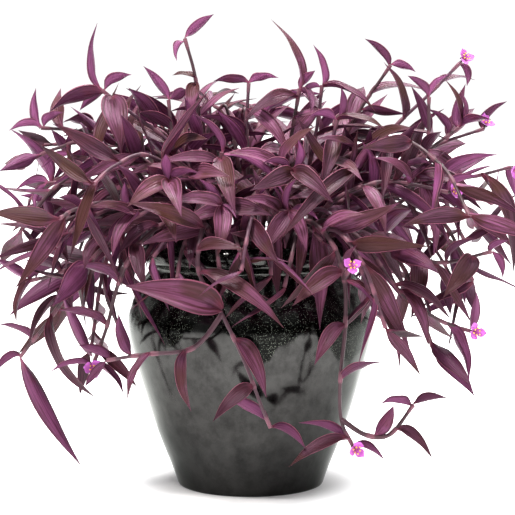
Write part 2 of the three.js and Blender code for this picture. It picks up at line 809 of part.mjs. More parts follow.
function backShoot(index) {
  const tier = index % BACK_TOP.length;
  const angle = mix(...BACK_FAN, (index + 0.5 + 0.25 * jitter(index, 1)) / BACK_STEMS);
  const towards = (radius, height, twist = 0) => {
    const turn = THREE.MathUtils.degToRad(angle + twist);
    return [radius * Math.cos(turn), radius * Math.sin(turn), height];
  };
  const top = BACK_TOP[tier] + 22 * jitter(index, 2);
  const reach = BACK_REACH[tier] + 18 * jitter(index, 3);
  const soil = BACK_SOIL_RADIUS[tier];
  const twist = 7 * jitter(index, 4);
  const route = [
    towards(soil, SOIL_TOP - ROOT_DEPTH),
    towards(mix(soil, reach, 0.26), mix(SOIL_TOP, top, 0.5)),
    towards(mix(soil, reach, 0.52), mix(SOIL_TOP, top, 0.86), twist / 2),
    towards(mix(soil, reach, 0.78), top, twist),
    towards(reach, top - BACK_DROP[tier], twist * 1.5),
  ];
  const curve = stemCurve(route);
  const leaves = [];
  for (let k = 0; k < BACK_LEAVES; k += 1) {
    const age = k / (BACK_LEAVES - 1);
    const place = mix(1.05, route.length - 1.05, age);
    const tangent = curve.getTangent(place / (route.length - 1));
    const sideways = tangent.clone().cross(UP).normalize();
    const hand = k % 2 === 0 ? 1 : -1;
    const length = mix(...BACK_LEAF_LENGTH, age) * (1 + 0.12 * jitter(index * 9 + k, 5));
    const out = tangent.clone().multiplyScalar(0.62 + 0.2 * jitter(index * 9 + k, 6));
    out.addScaledVector(sideways, hand * 0.75).addScaledVector(UP, 0.1 + 0.4 * jitter(index * 9 + k, 7));
    out.normalize().multiplyScalar(length);
    leaves.push([place, out.x, out.y, out.z, mix(...BACK_LEAF_WIDTH, age), 0]);
  }
  const end = curve.getTangent(1);
  const across = end.clone().cross(UP).normalize();
  const bracts = [-1, 1].map((hand) => {
    const out = end.clone().multiplyScalar(32).addScaledVector(across, hand * 22);
    return [route.length - 1, out.x, out.y, out.z + 10 * hand, 15, 0];
  });
  return { route, leaves, bracts };
}

// ---------------------------------------------------------------- growing the plant

const shoots = [...SHOOTS];
for (let i = 0; i < BACK_STEMS; i += 1) {
  shoots.push(backShoot(i));
}

/** Solids already in place: { owner, shape, box, core } where core is true for stems and flowers. */
const placed = [];

function place(owner, shape) {
  placed.push({ owner, shape, box: shape.boundingBox() });
}

function boxesMeet(a, b) {
  return [0, 1, 2].every((k) => a.min[k] < b.max[k] && b.min[k] < a.max[k]);
}

function touches(shape, accept) {
  const box = shape.boundingBox();
  return placed.some((other) => {
    return accept(other) && boxesMeet(box, other.box) && !shape.intersect(other.shape).isEmpty();
  });
}

/** The first bend of a leaf that keeps it clear of everything that is already in place, or nothing. */
function growLeaf(owner, curve, entry, fold) {
  for (const shrink of SHRINKS) {
    for (const bend of BENDS) {
      const leaf = leafAt(curve, entry, fold, bend, shrink);
      const outer = bladeSolid(leaf, { from: OUTER_PART, extra: CLEARANCE });
      if (outer.boundingBox().min[2] < CLEARANCE || touches(outer, () => true)) continue;
      const whole = bladeSolid(leaf, { extra: CLEARANCE });
      if (!touches(whole, (other) => other.owner !== owner)) return bladeSolid(leaf);
    }
  }
  return null;
}

const plant = new THREE.Group();
const pot = potSolid();
const stemHoles = [];
const growths = [];
place("pot", pot);

shoots.forEach((shoot, index) => {
  const name = `leafy_stem_${String(index + 1).padStart(2, "0")}`;
  const parts = [];
  [shoot, ...(shoot.branches ?? [])].forEach((axis) => {
    const curve = stemCurve(axis.route);
    const shape = stemSolid(curve);
    place(name, shape);
    parts.push(shape);
    growths.push({ name, parts, curve, axis });
  });
  stemHoles.push(stemSolid(stemCurve(shoot.route), GAP));
});
const soil = soilSolid(stemHoles);
place("soil", soil);

let flowerCount = 0;
for (const { curve, axis } of growths.filter(({ axis }) => axis.flower)) {
  flowerCount += 1;
  const name = `flower_${flowerCount}`;
  const flower = flowerSolid(curve, axis.flower);
  place(name, flower);
  plant.add(meshNode(name, geometryOf(flower), COLOURS.flower, 0.5));
}

for (const { name, parts, curve, axis } of growths) {
  const wanted = [
    ...axis.bracts.map((entry) => [entry, BRACT_FOLD]),
    ...axis.leaves.map((entry) => [entry, LEAF_FOLD]),
  ];
  for (const [entry, fold] of wanted) {
    const blade = growLeaf(name, curve, entry, fold);
    if (blade) {
      place(name, blade);
      parts.push(blade);
    }
  }
}

plant.add(meshNode("pot", geometryOf(pot), COLOURS.pot, 0.15));
plant.add(meshNode("soil", geometryOf(soil), COLOURS.soil, 0.95));
for (const { name, parts } of growths.filter(({ axis }) => !axis.flower || axis.route[0].length === 2)) {
  if (plant.children.some((node) => node.name === name)) continue;
  const joined = parts.reduce((whole, part) => whole.add(part));
  plant.add(meshNode(name, geometryOf(joined), COLOURS.leaf, 0.6));
}

export default plant;
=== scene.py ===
# %% [markdown]
# # A potted purple heart
# Purple heart is a trailing tradescantia: fleshy stems, boat-shaped leaves that clasp them, and small pink
# flowers of three petals. This lesson dresses a plain model of one in a glazed pot. The model is the fixed
# frame: it says where each stem, leaf and flower is, and every piece made here stays where its solid is.

import math
import random
from collections import namedtuple

import bpy
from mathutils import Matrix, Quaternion, Vector, noise
from mathutils.bvhtree import BVHTree


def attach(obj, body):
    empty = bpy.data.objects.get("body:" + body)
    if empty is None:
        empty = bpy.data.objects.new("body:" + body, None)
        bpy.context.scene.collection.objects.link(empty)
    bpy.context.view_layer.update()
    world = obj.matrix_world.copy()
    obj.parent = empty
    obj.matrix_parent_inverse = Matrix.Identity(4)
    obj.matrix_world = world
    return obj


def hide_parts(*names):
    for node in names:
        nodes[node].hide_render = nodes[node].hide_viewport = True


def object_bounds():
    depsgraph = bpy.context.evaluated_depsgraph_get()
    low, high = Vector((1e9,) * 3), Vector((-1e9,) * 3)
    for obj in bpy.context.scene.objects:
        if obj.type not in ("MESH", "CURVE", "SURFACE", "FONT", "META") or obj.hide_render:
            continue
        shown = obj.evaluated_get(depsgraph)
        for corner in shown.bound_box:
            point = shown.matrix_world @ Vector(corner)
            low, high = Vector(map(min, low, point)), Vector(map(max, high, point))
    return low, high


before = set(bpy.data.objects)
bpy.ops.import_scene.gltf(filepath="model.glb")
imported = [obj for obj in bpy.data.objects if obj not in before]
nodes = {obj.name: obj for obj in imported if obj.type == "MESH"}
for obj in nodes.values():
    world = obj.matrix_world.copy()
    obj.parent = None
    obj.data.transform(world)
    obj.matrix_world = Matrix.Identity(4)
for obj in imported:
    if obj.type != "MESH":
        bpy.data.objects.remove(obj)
cad_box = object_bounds()
MM = 0.001
UP = Vector((0, 0, 1))
print(len(nodes), "solids in the frame; the whole box is", cad_box)

# %% [markdown]
# ## Camera, floor and light
# A plant is shown well by a long lens from a little above the rim, because the pot's foot and mouth are
# then flat ellipses. The floor is flat, white and open to all sides. It glows, and more so away from the
# foot, so that it shows soft shadows and nothing else. The light is one wide soft sky with four panels. The
# panels are what a glossy glaze shows, as long soft streaks.

# %% Camera
CAMERA_PLACE = Vector((8, -2000, 432)) * MM
CAMERA_AIM = Vector((8, 0, 262)) * MM
PICTURE_ANGLE = math.radians(16.84)  # across the whole square picture

camera_data = bpy.data.cameras.new("camera")
camera_data.sensor_fit = "HORIZONTAL"
camera_data.angle = PICTURE_ANGLE
camera_data.clip_end = 50
camera = bpy.data.objects.new("camera", camera_data)
camera.location = CAMERA_PLACE
camera.rotation_euler = (CAMERA_AIM - CAMERA_PLACE).to_track_quat("-Z", "Y").to_euler()
bpy.context.scene.collection.objects.link(camera)
bpy.context.scene.camera = camera
bpy.context.scene.view_settings.view_transform = "Standard"
print("camera", round((CAMERA_AIM - CAMERA_PLACE).length, 3), "m from the pot")

# %% Colours and small helpers
def colour(red, green, blue):
    """A screen colour, 0 to 255, as the linear colour that a shader works with."""
    def linear(value):
        value /= 255
        return value / 12.92 if value <= 0.04045 else ((value + 0.055) / 1.055) ** 2.4
    return (linear(red), linear(green), linear(blue), 1)


def link_object(name, mesh):
    piece = bpy.data.objects.new(name, mesh)
    bpy.context.scene.collection.objects.link(piece)
    return piece


def mesh_from(name, corners, faces):
    """A new smooth object from corners in metres and faces as lists of corner numbers."""
    mesh = bpy.data.meshes.new(name)
    mesh.from_pydata([tuple(c) for c in corners], [], faces)
    mesh.validate()
    mesh.polygons.foreach_set("use_smooth", [True] * len(mesh.polygons))
    return link_object(name, mesh)

# %% Floor and light
FLOOR_HALF = 30  # m, from its middle to an edge
FLOOR_GLOW = [(0.086, 0.145, 0.05, 0.84), (0.6, 1.6, 0, 0.44)]  # from and to (m), and the glow there
FLOOR_ROUGHNESS = 0.9
SKY_BEHIND, SKY_FRONT, SKY_TOP = 1.05, 0.25, 0.65
PAPER, WHITE = (0.9, 0.9, 0.9, 1), (1, 1, 1)
PANELS = [  # name, place and aim (m), width and height (m), power (W) and tint
    ("key_panel", (-0.75, -0.7, 2.2), (0, 0, 0.3), (0.4, 0.4), 66, (1, 0.97, 0.94)),
    ("fill_panel", (1.7, -0.9, 1.0), (0, 0, 0.25), (0.5, 1.4), 11, WHITE),
    ("top_panel", (0.25, 0.5, 2.4), (0, 0, 0.35), (0.4, 0.4), 62, WHITE),
    ("back_panel", (0.7, 1.5, 1.7), (0, 0, 0.35), (0.9, 0.5), 14, WHITE),
]


def make_floor():
    corners = [(x * FLOOR_HALF, y * FLOOR_HALF, 0) for x, y in ((-1, -1), (1, -1), (1, 1), (-1, 1))]
    floor = mesh_from("floor", corners, [[0, 1, 2, 3]])
    paper = bpy.data.materials.new("white_paper")
    paper.use_nodes = True
    tree = paper.node_tree
    shader = tree.nodes["Principled BSDF"]
    shader.inputs["Base Color"].default_value = PAPER
    shader.inputs["Roughness"].default_value = FLOOR_ROUGHNESS
    shader.inputs["Emission Color"].default_value = (*WHITE, 1)
    away = vectors(tree, "LENGTH", object_place(tree))
    near, far = (smooth_step(tree, away, *step) for step in FLOOR_GLOW)
    tree.links.new(maths(tree, "ADD", near, far), shader.inputs["Emission Strength"])
    floor.data.materials.append(paper)


def make_light(name, place, aim, size, power, tint):
    data = bpy.data.lights.new(name, "AREA")
    data.shape = "RECTANGLE"
    data.size, data.size_y = size
    data.energy = power
    data.color = tint
    lamp = bpy.data.objects.new(name, data)
    lamp.location = place
    lamp.rotation_euler = (Vector(aim) - Vector(place)).to_track_quat("-Z", "Y").to_euler()
    bpy.context.scene.collection.objects.link(lamp)


def studio_sky():
    """A white backdrop behind the plant, and a dimmer room on the camera's side."""
    world = bpy.data.worlds.new("studio")
    world.use_nodes = True
    tree = world.node_tree
    generated = add(tree, "ShaderNodeTexCoord").outputs["Generated"]
    way = add(tree, "ShaderNodeSeparateXYZ", {0: generated}).outputs
    level = smooth_step(tree, way["Y"], -0.2, 0.75, SKY_FRONT, SKY_BEHIND)
    level = maths(tree, "MULTIPLY", level, smooth_step(tree, way["Z"], 0.1, 0.4, 1, 0.55))
    level = maths(tree, "ADD", level, smooth_step(tree, way["Z"], 0.2, 0.9, 0, SKY_TOP))
    tree.links.new(level, tree.nodes["Background"].inputs["Strength"])
    tree.nodes["Background"].inputs["Color"].default_value = (*WHITE, 1)
    bpy.context.scene.world = world


for panel in PANELS:
    make_light(*panel)
print(len(PANELS), "panels")

# %% [markdown]
# ## Building node trees in a script
# Leaves, stems and crumbs of soil repeat hundreds of times, so Geometry Nodes make them. A tree in a script
# is a list of nodes and links. Short helpers keep it readable. The main one adds a node and fills its
# inputs, with a number or with the output of another node, and the last one makes a modifier's result a
# plain mesh.

# %% Helpers for node trees
def add(tree, kind, inputs=None, **settings):
    """Adds a node. `inputs` gives a value or another node's output for each input, by name or number."""
    node = tree.nodes.new(kind)
    for name, value in settings.items():
        setattr(node, name, value)
    for key, value in (inputs or {}).items():
        if isinstance(value, bpy.types.NodeSocket):
            tree.links.new(value, node.inputs[key])
        else:
            node.inputs[key].default_value = value
    return node


def maths(tree, operation, first, second=0.0, third=0.0, clamp=False):
    values = {0: first, 1: second, 2: third}
    return add(tree, "ShaderNodeMath", values, operation=operation, use_clamp=clamp).outputs[0]


def vectors(tree, operation, first, second=None, scale=None):
    values = {0: first}
    if second is not None:
        values[1] = second
    if scale is not None:
        values["Scale"] = scale
    node = add(tree, "ShaderNodeVectorMath", values, operation=operation)
    return node.outputs["Value" if operation == "LENGTH" else "Vector"]


def geometry_tree(name, inputs):
    """A Geometry Nodes tree with the named inputs and their defaults, and its first and last node."""
    tree = bpy.data.node_groups.new(name, "GeometryNodeTree")
    tree.interface.new_socket("Geometry", in_out="INPUT", socket_type="NodeSocketGeometry")
    for label, (kind, value) in inputs.items():
        socket = tree.interface.new_socket(label, in_out="INPUT", socket_type=kind)
        if value is not None:
            socket.default_value = value
    tree.interface.new_socket("Geometry", in_out="OUTPUT", socket_type="NodeSocketGeometry")
    return tree, tree.nodes.new("NodeGroupInput"), tree.nodes.new("NodeGroupOutput")


def position(tree):
    return add(tree, "GeometryNodeInputPosition").outputs[0]


def keep(tree, geometry, fields):
    """Captures fields on the points of a geometry: returns the geometry and one output for each field."""
    node = tree.nodes.new("GeometryNodeCaptureAttribute")
    tree.links.new(geometry, node.inputs["Geometry"])
    for label, (kind, output) in fields.items():
        node.capture_items.new(kind, label)
        tree.links.new(output, node.inputs[label])
    return node.outputs["Geometry"], {label: node.outputs[label] for label in fields}


def named(tree, label, kind="FLOAT"):
    return add(tree, "GeometryNodeInputNamedAttribute", {"Name": label}, data_type=kind).outputs["Attribute"]


def store(tree, geometry, label, value):
    values = {"Geometry": geometry, "Name": label, "Value": value}
    return add(tree, "GeometryNodeStoreNamedAttribute", values, data_type="FLOAT").outputs["Geometry"]


def float_curve(tree, value, points):
    """Reads a curve, given as (place, height) points, at `value`."""
    node = add(tree, "ShaderNodeFloatCurve", {"Value": value})
    line = node.mapping.curves[0]
    line.points[0].location, line.points[1].location = points[0], points[-1]
    for place, height in points[1:-1]:
        line.points.new(place, height)
    node.mapping.update()
    return node.outputs[0]


def join(tree, *parts):
    """One geometry from several, in the order given."""
    node = add(tree, "GeometryNodeJoinGeometry")
    for part in parts:
        tree.links.new(part, node.inputs[0])
    return node.outputs[0]


def grow(piece, tree, values, name):
    """Runs a tree on a piece and returns the result as a plain mesh object; the piece itself is removed."""
    modifier = piece.modifiers.new(tree.name, "NODES")
    modifier.node_group = tree
    for item in tree.interface.items_tree:
        if item.in_out == "INPUT" and item.name in values:
            modifier[item.identifier] = values[item.name]
    bpy.context.view_layer.update()
    evaluated = piece.evaluated_get(bpy.context.evaluated_depsgraph_get())
    mesh = bpy.data.meshes.new_from_object(evaluated)
    mesh.name = name
    grown = link_object(name, mesh)
    bpy.data.objects.remove(piece)
    return grown

# %% [markdown]
# ## Reading the leaves from the frame
# Each leaf of the frame is a thin folded blade. It ends in a point, and between the point and the stem it
# has two or three stations of four corners: left edge, upper midrib, right edge and lower midrib. The two
# midrib corners always lie one blade thickness apart, which is how a station is told from anything else.
# Walking from every pointed tip towards the stem gives each leaf's line, width, fold and upper side, so the
# fine leaves lie exactly where the solids do.

# %% Read the blades of one solid
BLADE_THICKNESS = 1.7 * MM  # of the frame's blades at the midrib
STATION_SLACK = 0.06 * MM
MOST_STATIONS = 3
TIP_SHARPNESS = 0.7  # least cosine between a tip's edges and their mean
WELD = 0.01 * MM


def corners_and_neighbours(mesh):
    """A solid's corners with doubles joined, the neighbours of each, and how many faces meet there."""
    number, corners, near, faces = {}, [], {}, {}
    raw = [v.co for v in mesh.vertices]
    for polygon in mesh.polygons:
        ring = []
        for index in polygon.vertices:
            key = tuple(round(c / WELD) for c in raw[index])
            if key not in number:
                number[key] = len(corners)
                corners.append(raw[index].copy())
            ring.append(number[key])
        for a in ring:
            near.setdefault(a, set()).update(b for b in ring if b != a)
            faces[a] = faces.get(a, 0) + 1
    return corners, near, faces


def station(corners, ring):
    """Sorts four corners as (left, upper, right, lower), or gives None if they aren't a blade's station."""
    pairs = [(abs((corners[a] - corners[b]).length - BLADE_THICKNESS), a, b)
             for i, a in enumerate(ring) for b in ring[i + 1:]]
    error, upper, lower = min(pairs)
    if error > STATION_SLACK:
        return None
    left, right = [c for c in ring if c not in (upper, lower)]
    edges = (corners[left] + corners[right]) / 2
    if (corners[upper] - edges).length > (corners[lower] - edges).length:
        upper, lower = lower, upper
    return left, upper, right, lower


def read_blades(mesh):
    """Every blade of a solid: its tip, its stations from the tip to the stem, and where it meets the stem."""
    corners, near, faces = corners_and_neighbours(mesh)
    blades = []
    for tip in sorted(near):
        if len(near[tip]) != 4 or faces[tip] != 4:
            continue
        first = station(corners, sorted(near[tip]))
        edges = [(corners[n] - corners[tip]).normalized() for n in sorted(near[tip])]
        mean = sum(edges, Vector()).normalized()
        if first is None or min(edge.dot(mean) for edge in edges) < TIP_SHARPNESS:
            continue
        stations, seen = [first], {tip, *first}
        while True:
            beyond = sorted(set().union(*(near[c] for c in stations[-1])) - seen)
            following = station(corners, beyond) if len(beyond) == 4 else None
            if following is None or len(stations) == MOST_STATIONS:
                break
            stations.append(following)
            seen.update(following)
        foot = sum((corners[c] for c in beyond), Vector()) / len(beyond)
        blades.append((corners[tip], [[corners[c] for c in ring] for ring in stations], foot))
    return blades

# %% Turn each blade into a midrib with a width and an upper side
BRACT_FOLD, BRACT_LENGTH = math.radians(34), 95 * MM  # bracts are folded more and are shorter
FRONT, EDGE_ON = Vector((0, -0.97, 0.25)), 0.55  # blades turn until this share of them faces the front
END_ON = 0.3  # a blade that points so nearly at the front stays as it is
LONE_STATION_SHARE = 0.73  # of the full width, where only the station next to the tip was found


def way_at(line, k):
    """The direction of a line at its point number k."""
    return (line[min(k + 1, len(line) - 1)] - line[max(k - 1, 0)]).normalized()


def length_of(line):
    return sum((b - a).length for a, b in zip(line, line[1:]))


class Leaf:
    """A leaf as the tree that grows it wants it: a line from the stem to the tip, and its upper side."""

    def __init__(self, line, uppers, half_width, fold):
        self.line, self.uppers = line, uppers
        self.half_width, self.fold, self.bract = half_width, fold, False
        self.length = length_of(line)


def turned_out(line, uppers):
    """A blade seen edge-on from the front turns a little about its midrib, to show one of its faces."""
    ways = [way_at(line, k) for k in range(len(line))]
    middle = len(line) // 2
    front = FRONT - ways[middle] * FRONT.dot(ways[middle])
    share = uppers[middle].dot(front.normalized())
    if front.length < END_ON or abs(share) > EDGE_ON:
        return uppers
    missing = math.asin(EDGE_ON) - math.asin(abs(share))
    swing = front if share >= 0 else -front
    turn = math.copysign(missing, uppers[middle].cross(swing).dot(ways[middle]))
    return [Quaternion(way, turn) @ upper for way, upper in zip(ways, uppers)]


def leaf_from(blade):
    tip, stations, foot = blade
    line, uppers, widths, folds = [tip], [], [], []
    for left, upper, right, lower in stations:
        centre, edges = (upper + lower) / 2, (left + right) / 2
        line.append(centre)
        uppers.append((upper - lower).normalized())
        widths.append(math.hypot((left - right).length / 2, (edges - centre).length))
        folds.append(math.atan2((edges - centre).length, (left - right).length / 2))
    line.append(foot)
    half_width = widths[1] if len(widths) > 1 else widths[0] / LONE_STATION_SHARE
    fold = folds[min(1, len(folds) - 1)]
    uppers = turned_out(line, [uppers[0], *uppers, uppers[-1]])
    leaf = Leaf(line[::-1], uppers[::-1], half_width, fold)
    leaf.bract = fold > BRACT_FOLD and leaf.length < BRACT_LENGTH
    return leaf


stem_names = sorted(name for name in nodes if name.startswith("leafy_stem"))
leaves = {name: [leaf_from(blade) for blade in read_blades(nodes[name].data)] for name in stem_names}
print(sum(len(group) for group in leaves.values()), "leaves and bracts on", len(stem_names), "stems")

# %% [markdown]
# ## Where the stems run
# The stems' routes are the same points that the frame's stems follow, in millimetres, from the soil to
# the tip. The stems of the sides and back follow the frame's rule: they fan out between two angles, in
# three tiers. A smooth curve passes through every point.

# %% Routes of the stems
ROOT_HEIGHT = 236
STEM_ROUTES = {
    "leafy_stem_01": [[(-30, -10), (-48, -12, 330), (-90, -15, 392), (-135, -20, 428), (-168, -25, 454)]],
    "leafy_stem_02": [[(-22, 2), (-44, 12, 340), (-58, 6, 415), (-63, 0, 468), (-75, 0, 513)]],
    "leafy_stem_03": [[(-48, -32), (-72, -34, 330), (-86, -36, 387), (-92, -38, 443)]],
    "leafy_stem_04": [[(-6, 2), (-8, -4, 340), (-5, -6, 410), (-2, -10, 462)]],
    "leafy_stem_05": [[(22, -4), (36, -10, 340), (48, -10, 410), (56, -10, 456)]],
    "leafy_stem_06": [[(42, 14), (62, 8, 340), (76, 4, 410), (82, 2, 460)]],
    "leafy_stem_07": [[(56, 26), (82, 24, 340), (119, 18, 419), (161, 10, 483)]],
    "leafy_stem_08": [[(68, 4), (104, 2, 345), (165, 0, 412), (205, 0, 450), (240, -2, 486)]],
    "leafy_stem_09": [[(58, -22), (106, -38, 310), (170, -54, 330), (196, -56, 385), (199, -56, 446)]],
    "leafy_stem_10": [[(74, -14), (124, -20, 320), (186, -22, 374), (237, -20, 412)]],
    "leafy_stem_11": [[(70, 32), (126, 38, 332), (208, 32, 386), (270, 20, 410)]],
    "leafy_stem_12": [[(50, -36), (98, -48, 326), (180, -66, 348), (244, -64, 357), (290, -58, 368)]],
    "leafy_stem_13": [[(48, -54), (80, -80, 320), (136, -96, 352), (180, -100, 350), (216, -100, 342)]],
    "leafy_stem_14": [[(70, -28), (106, -58, 306), (152, -80, 286), (206, -88, 264), (266, -90, 276)]],
    "leafy_stem_15": [
        [(36, -48), (74, -92, 308), (118, -122, 294), (158, -130, 240), (203, -128, 206), (240, -126, 192)],
    ],
    "leafy_stem_16": [
        [(28, -54), (56, -98, 308), (86, -136, 292), (101, -144, 251),
         (102, -149, 200), (97, -152, 146), (98, -150, 100), (111, -150, 70)],
        [(101, -144, 251), (103, -152, 257), (106, -162, 264)],
        [(98, -150, 100), (124, -154, 84), (150, -153, 84), (176, -150, 116)],
    ],
    "leafy_stem_17": [
        [(-34, -68), (-46, -106, 304), (-54, -136, 292), (-54, -144, 256),
         (-30, -152, 214), (-6, -158, 164), (12, -158, 116), (22, -156, 92)],
        [(-30, -152, 214), (-48, -160, 190), (-68, -160, 176), (-112, -154, 171), (-154, -142, 163)],
    ],
    "leafy_stem_18": [
        [(-46, -52), (-78, -90, 307), (-118, -118, 290),
         (-142, -122, 246), (-156, -122, 196), (-172, -124, 152)],
    ],
    "leafy_stem_19": [
        [(-58, -40), (-98, -64, 310), (-152, -86, 290),
         (-196, -84, 238), (-226, -72, 196), (-258, -62, 156)],
    ],
    "leafy_stem_20": [[(-68, -20), (-108, -28, 300), (-142, -32, 310), (-184, -32, 311), (-226, -30, 304)]],
    "leafy_stem_21": [[(-72, 12), (-116, 12, 322), (-170, 10, 346), (-234, 4, 348)]],
    "leafy_stem_22": [[(-66, -28), (-110, -42, 308), (-162, -54, 278), (-212, -48, 250), (-254, -42, 238)]],
    "leafy_stem_23": [[(-56, 32), (-90, 42, 360), (-152, 34, 398), (-205, 22, 408), (-242, 14, 411)]],
    "leafy_stem_24": [[(-76, -8), (-118, -8, 332), (-166, -12, 370), (-205, -16, 380)]],
    "leafy_stem_25": [[(-18, -36), (-28, -52, 325), (-32, -66, 385)]],
    "leafy_stem_26": [[(50, -30), (72, -38, 330), (88, -44, 380), (97, -46, 420)]],
    "leafy_stem_27": [[(40, -34), (70, -62, 318), (98, -76, 346), (117, -78, 364)]],
    "leafy_stem_28": [[(-36, -42), (-64, -72, 320), (-98, -104, 326), (-128, -116, 314)]],
    "leafy_stem_29": [[(-8, -50), (-18, -86, 316), (-32, -114, 326)]],
    "leafy_stem_30": [[(14, -54), (28, -90, 314), (42, -118, 322)]],
    "leafy_stem_31": [[(8, -26), (20, -50, 346), (34, -82, 370), (46, -106, 364)]],
    "leafy_stem_32": [[(-30, -34), (-52, -58, 342), (-72, -88, 360), (-88, -110, 352)]],
}

# %% Routes of the sides and back, by rule
BACK_STEMS = 14
BACK_FAN = (18, 166)
BACK_SOIL_RADIUS = (34, 66, 56)
BACK_TOP = (410, 378, 344)
BACK_REACH = (150, 208, 250)
BACK_DROP = (0, 26, 96)
SOIL_TOP = 262
FRAME_SEED = 41


def mix(a, b, share):
    return a + (b - a) * share


def jitter(index, salt):
    """A repeatable number from -1 to 1."""
    wave = math.sin(index * 12.9898 + salt * 78.233 + FRAME_SEED) * 43758.5453
    return 2 * (wave - math.floor(wave)) - 1


def back_route(index):
    tier = index % len(BACK_TOP)
    angle = mix(*BACK_FAN, (index + 0.5 + 0.25 * jitter(index, 1)) / BACK_STEMS)
    top = BACK_TOP[tier] + 22 * jitter(index, 2)
    reach = BACK_REACH[tier] + 18 * jitter(index, 3)
    soil = BACK_SOIL_RADIUS[tier]
    twist = 7 * jitter(index, 4)

    def towards(radius, height, turn=0):
        bearing = math.radians(angle + turn)
        return radius * math.cos(bearing), radius * math.sin(bearing), height

    return [
        towards(soil, ROOT_HEIGHT),
        towards(mix(soil, reach, 0.26), mix(SOIL_TOP, top, 0.5)),
        towards(mix(soil, reach, 0.52), mix(SOIL_TOP, top, 0.86), twist / 2),
        towards(mix(soil, reach, 0.78), top, twist),
        towards(reach, top - BACK_DROP[tier], twist * 1.5),
    ]


for number in range(BACK_STEMS):
    STEM_ROUTES[f"leafy_stem_{len(STEM_ROUTES) + 1:02d}"] = [back_route(number)]

# %% A smooth line through a route
STEM_STEP = 3 * MM  # between the points of a fine stem
SPAN_SAMPLES = 24  # of the curve between two points of a route, for measuring it
LEAST_STEPS = 4


def spline_point(points, place):
    """The Catmull-Rom curve through the points, at a place counted in points."""
    last = len(points) - 1
    index = min(int(place), last - 1)
    share = place - index
    before = points[index - 1] if index else 2 * points[0] - points[1]
    after = points[index + 2] if index + 2 <= last else 2 * points[last] - points[last - 1]
    start, end = points[index], points[index + 1]
    out, back = (end - before) / 2, (after - start) / 2
    bend = -3 * start + 3 * end - 2 * out - back
    close = 2 * start - 2 * end + out + back
    return start + out * share + bend * share ** 2 + close * share ** 3


def fine_line(route):
    """A line of even steps along the curve through a route, whose first point may leave out its height."""
    points = [Vector((*p, ROOT_HEIGHT) if len(p) == 2 else p) * MM for p in route]
    samples = [spline_point(points, k / SPAN_SAMPLES) for k in range(SPAN_SAMPLES * (len(points) - 1) + 1)]
    length = length_of(samples)
    steps = max(LEAST_STEPS, round(length / STEM_STEP))
    line, travelled, target, index = [samples[0]], 0, length / steps, 1
    while index < len(samples):
        span = (samples[index] - samples[index - 1]).length
        if travelled + span >= target - 1e-9 and len(line) < steps:
            share = (target - travelled) / span
            line.append(samples[index - 1].lerp(samples[index], share))
            target += length / steps
        else:
            travelled += span
            index += 1
    line.append(samples[-1])
    return line


def nearest(lines, place):
    """Which line, and which point of it, lies nearest to a place."""
    return min(((point - place).length_squared, i, k)
               for i, line in enumerate(lines) for k, point in enumerate(line))[1:]


stems = {name: [fine_line(route) for route in routes] for name, routes in STEM_ROUTES.items()}
print(sum(len(lines) for lines in stems.values()), "stems and side stems")

# %% [markdown]
# ## The tree that grows a leafy stem
# A leaf of purple heart is a fleshy trough. It clasps the stem, is widest a third of the way out, and runs
# to a slender point. The stems are round, with a short sheath where each leaf clasps them. One Geometry
# Nodes tree grows both from one set of lines: it smooths each midrib, sweeps a ring along it and lays every
# point of the ring out across the midrib, and it sweeps a plain circle along each stem. The width, the fold
# and a gentle wave of the margin depend on how far along the leaf a point is.

# %% Build the tree for leafy stems
LEAF_SHAPE = [(0, 0.3), (0.05, 0.5), (0.12, 0.76), (0.2, 0.94), (0.29, 1), (0.42, 0.95), (0.56, 0.79),
              (0.7, 0.56), (0.84, 0.29), (0.94, 0.1), (1, 0.012)]
CLASP = [(0, 0.85), (0.08, 0.62), (0.2, 0.26), (0.4, 0.06), (1, 0)]  # extra fold near the stem
FLESH = [(0, 0.75), (0.15, 1), (0.7, 0.85), (1, 0.25)]  # how thick the leaf is along its length
ROUND_KEEL = 0.012  # how softly the trough's keel is rounded
WAVE_SLANT = 0.9  # radians between the waves at a margin and at the midrib


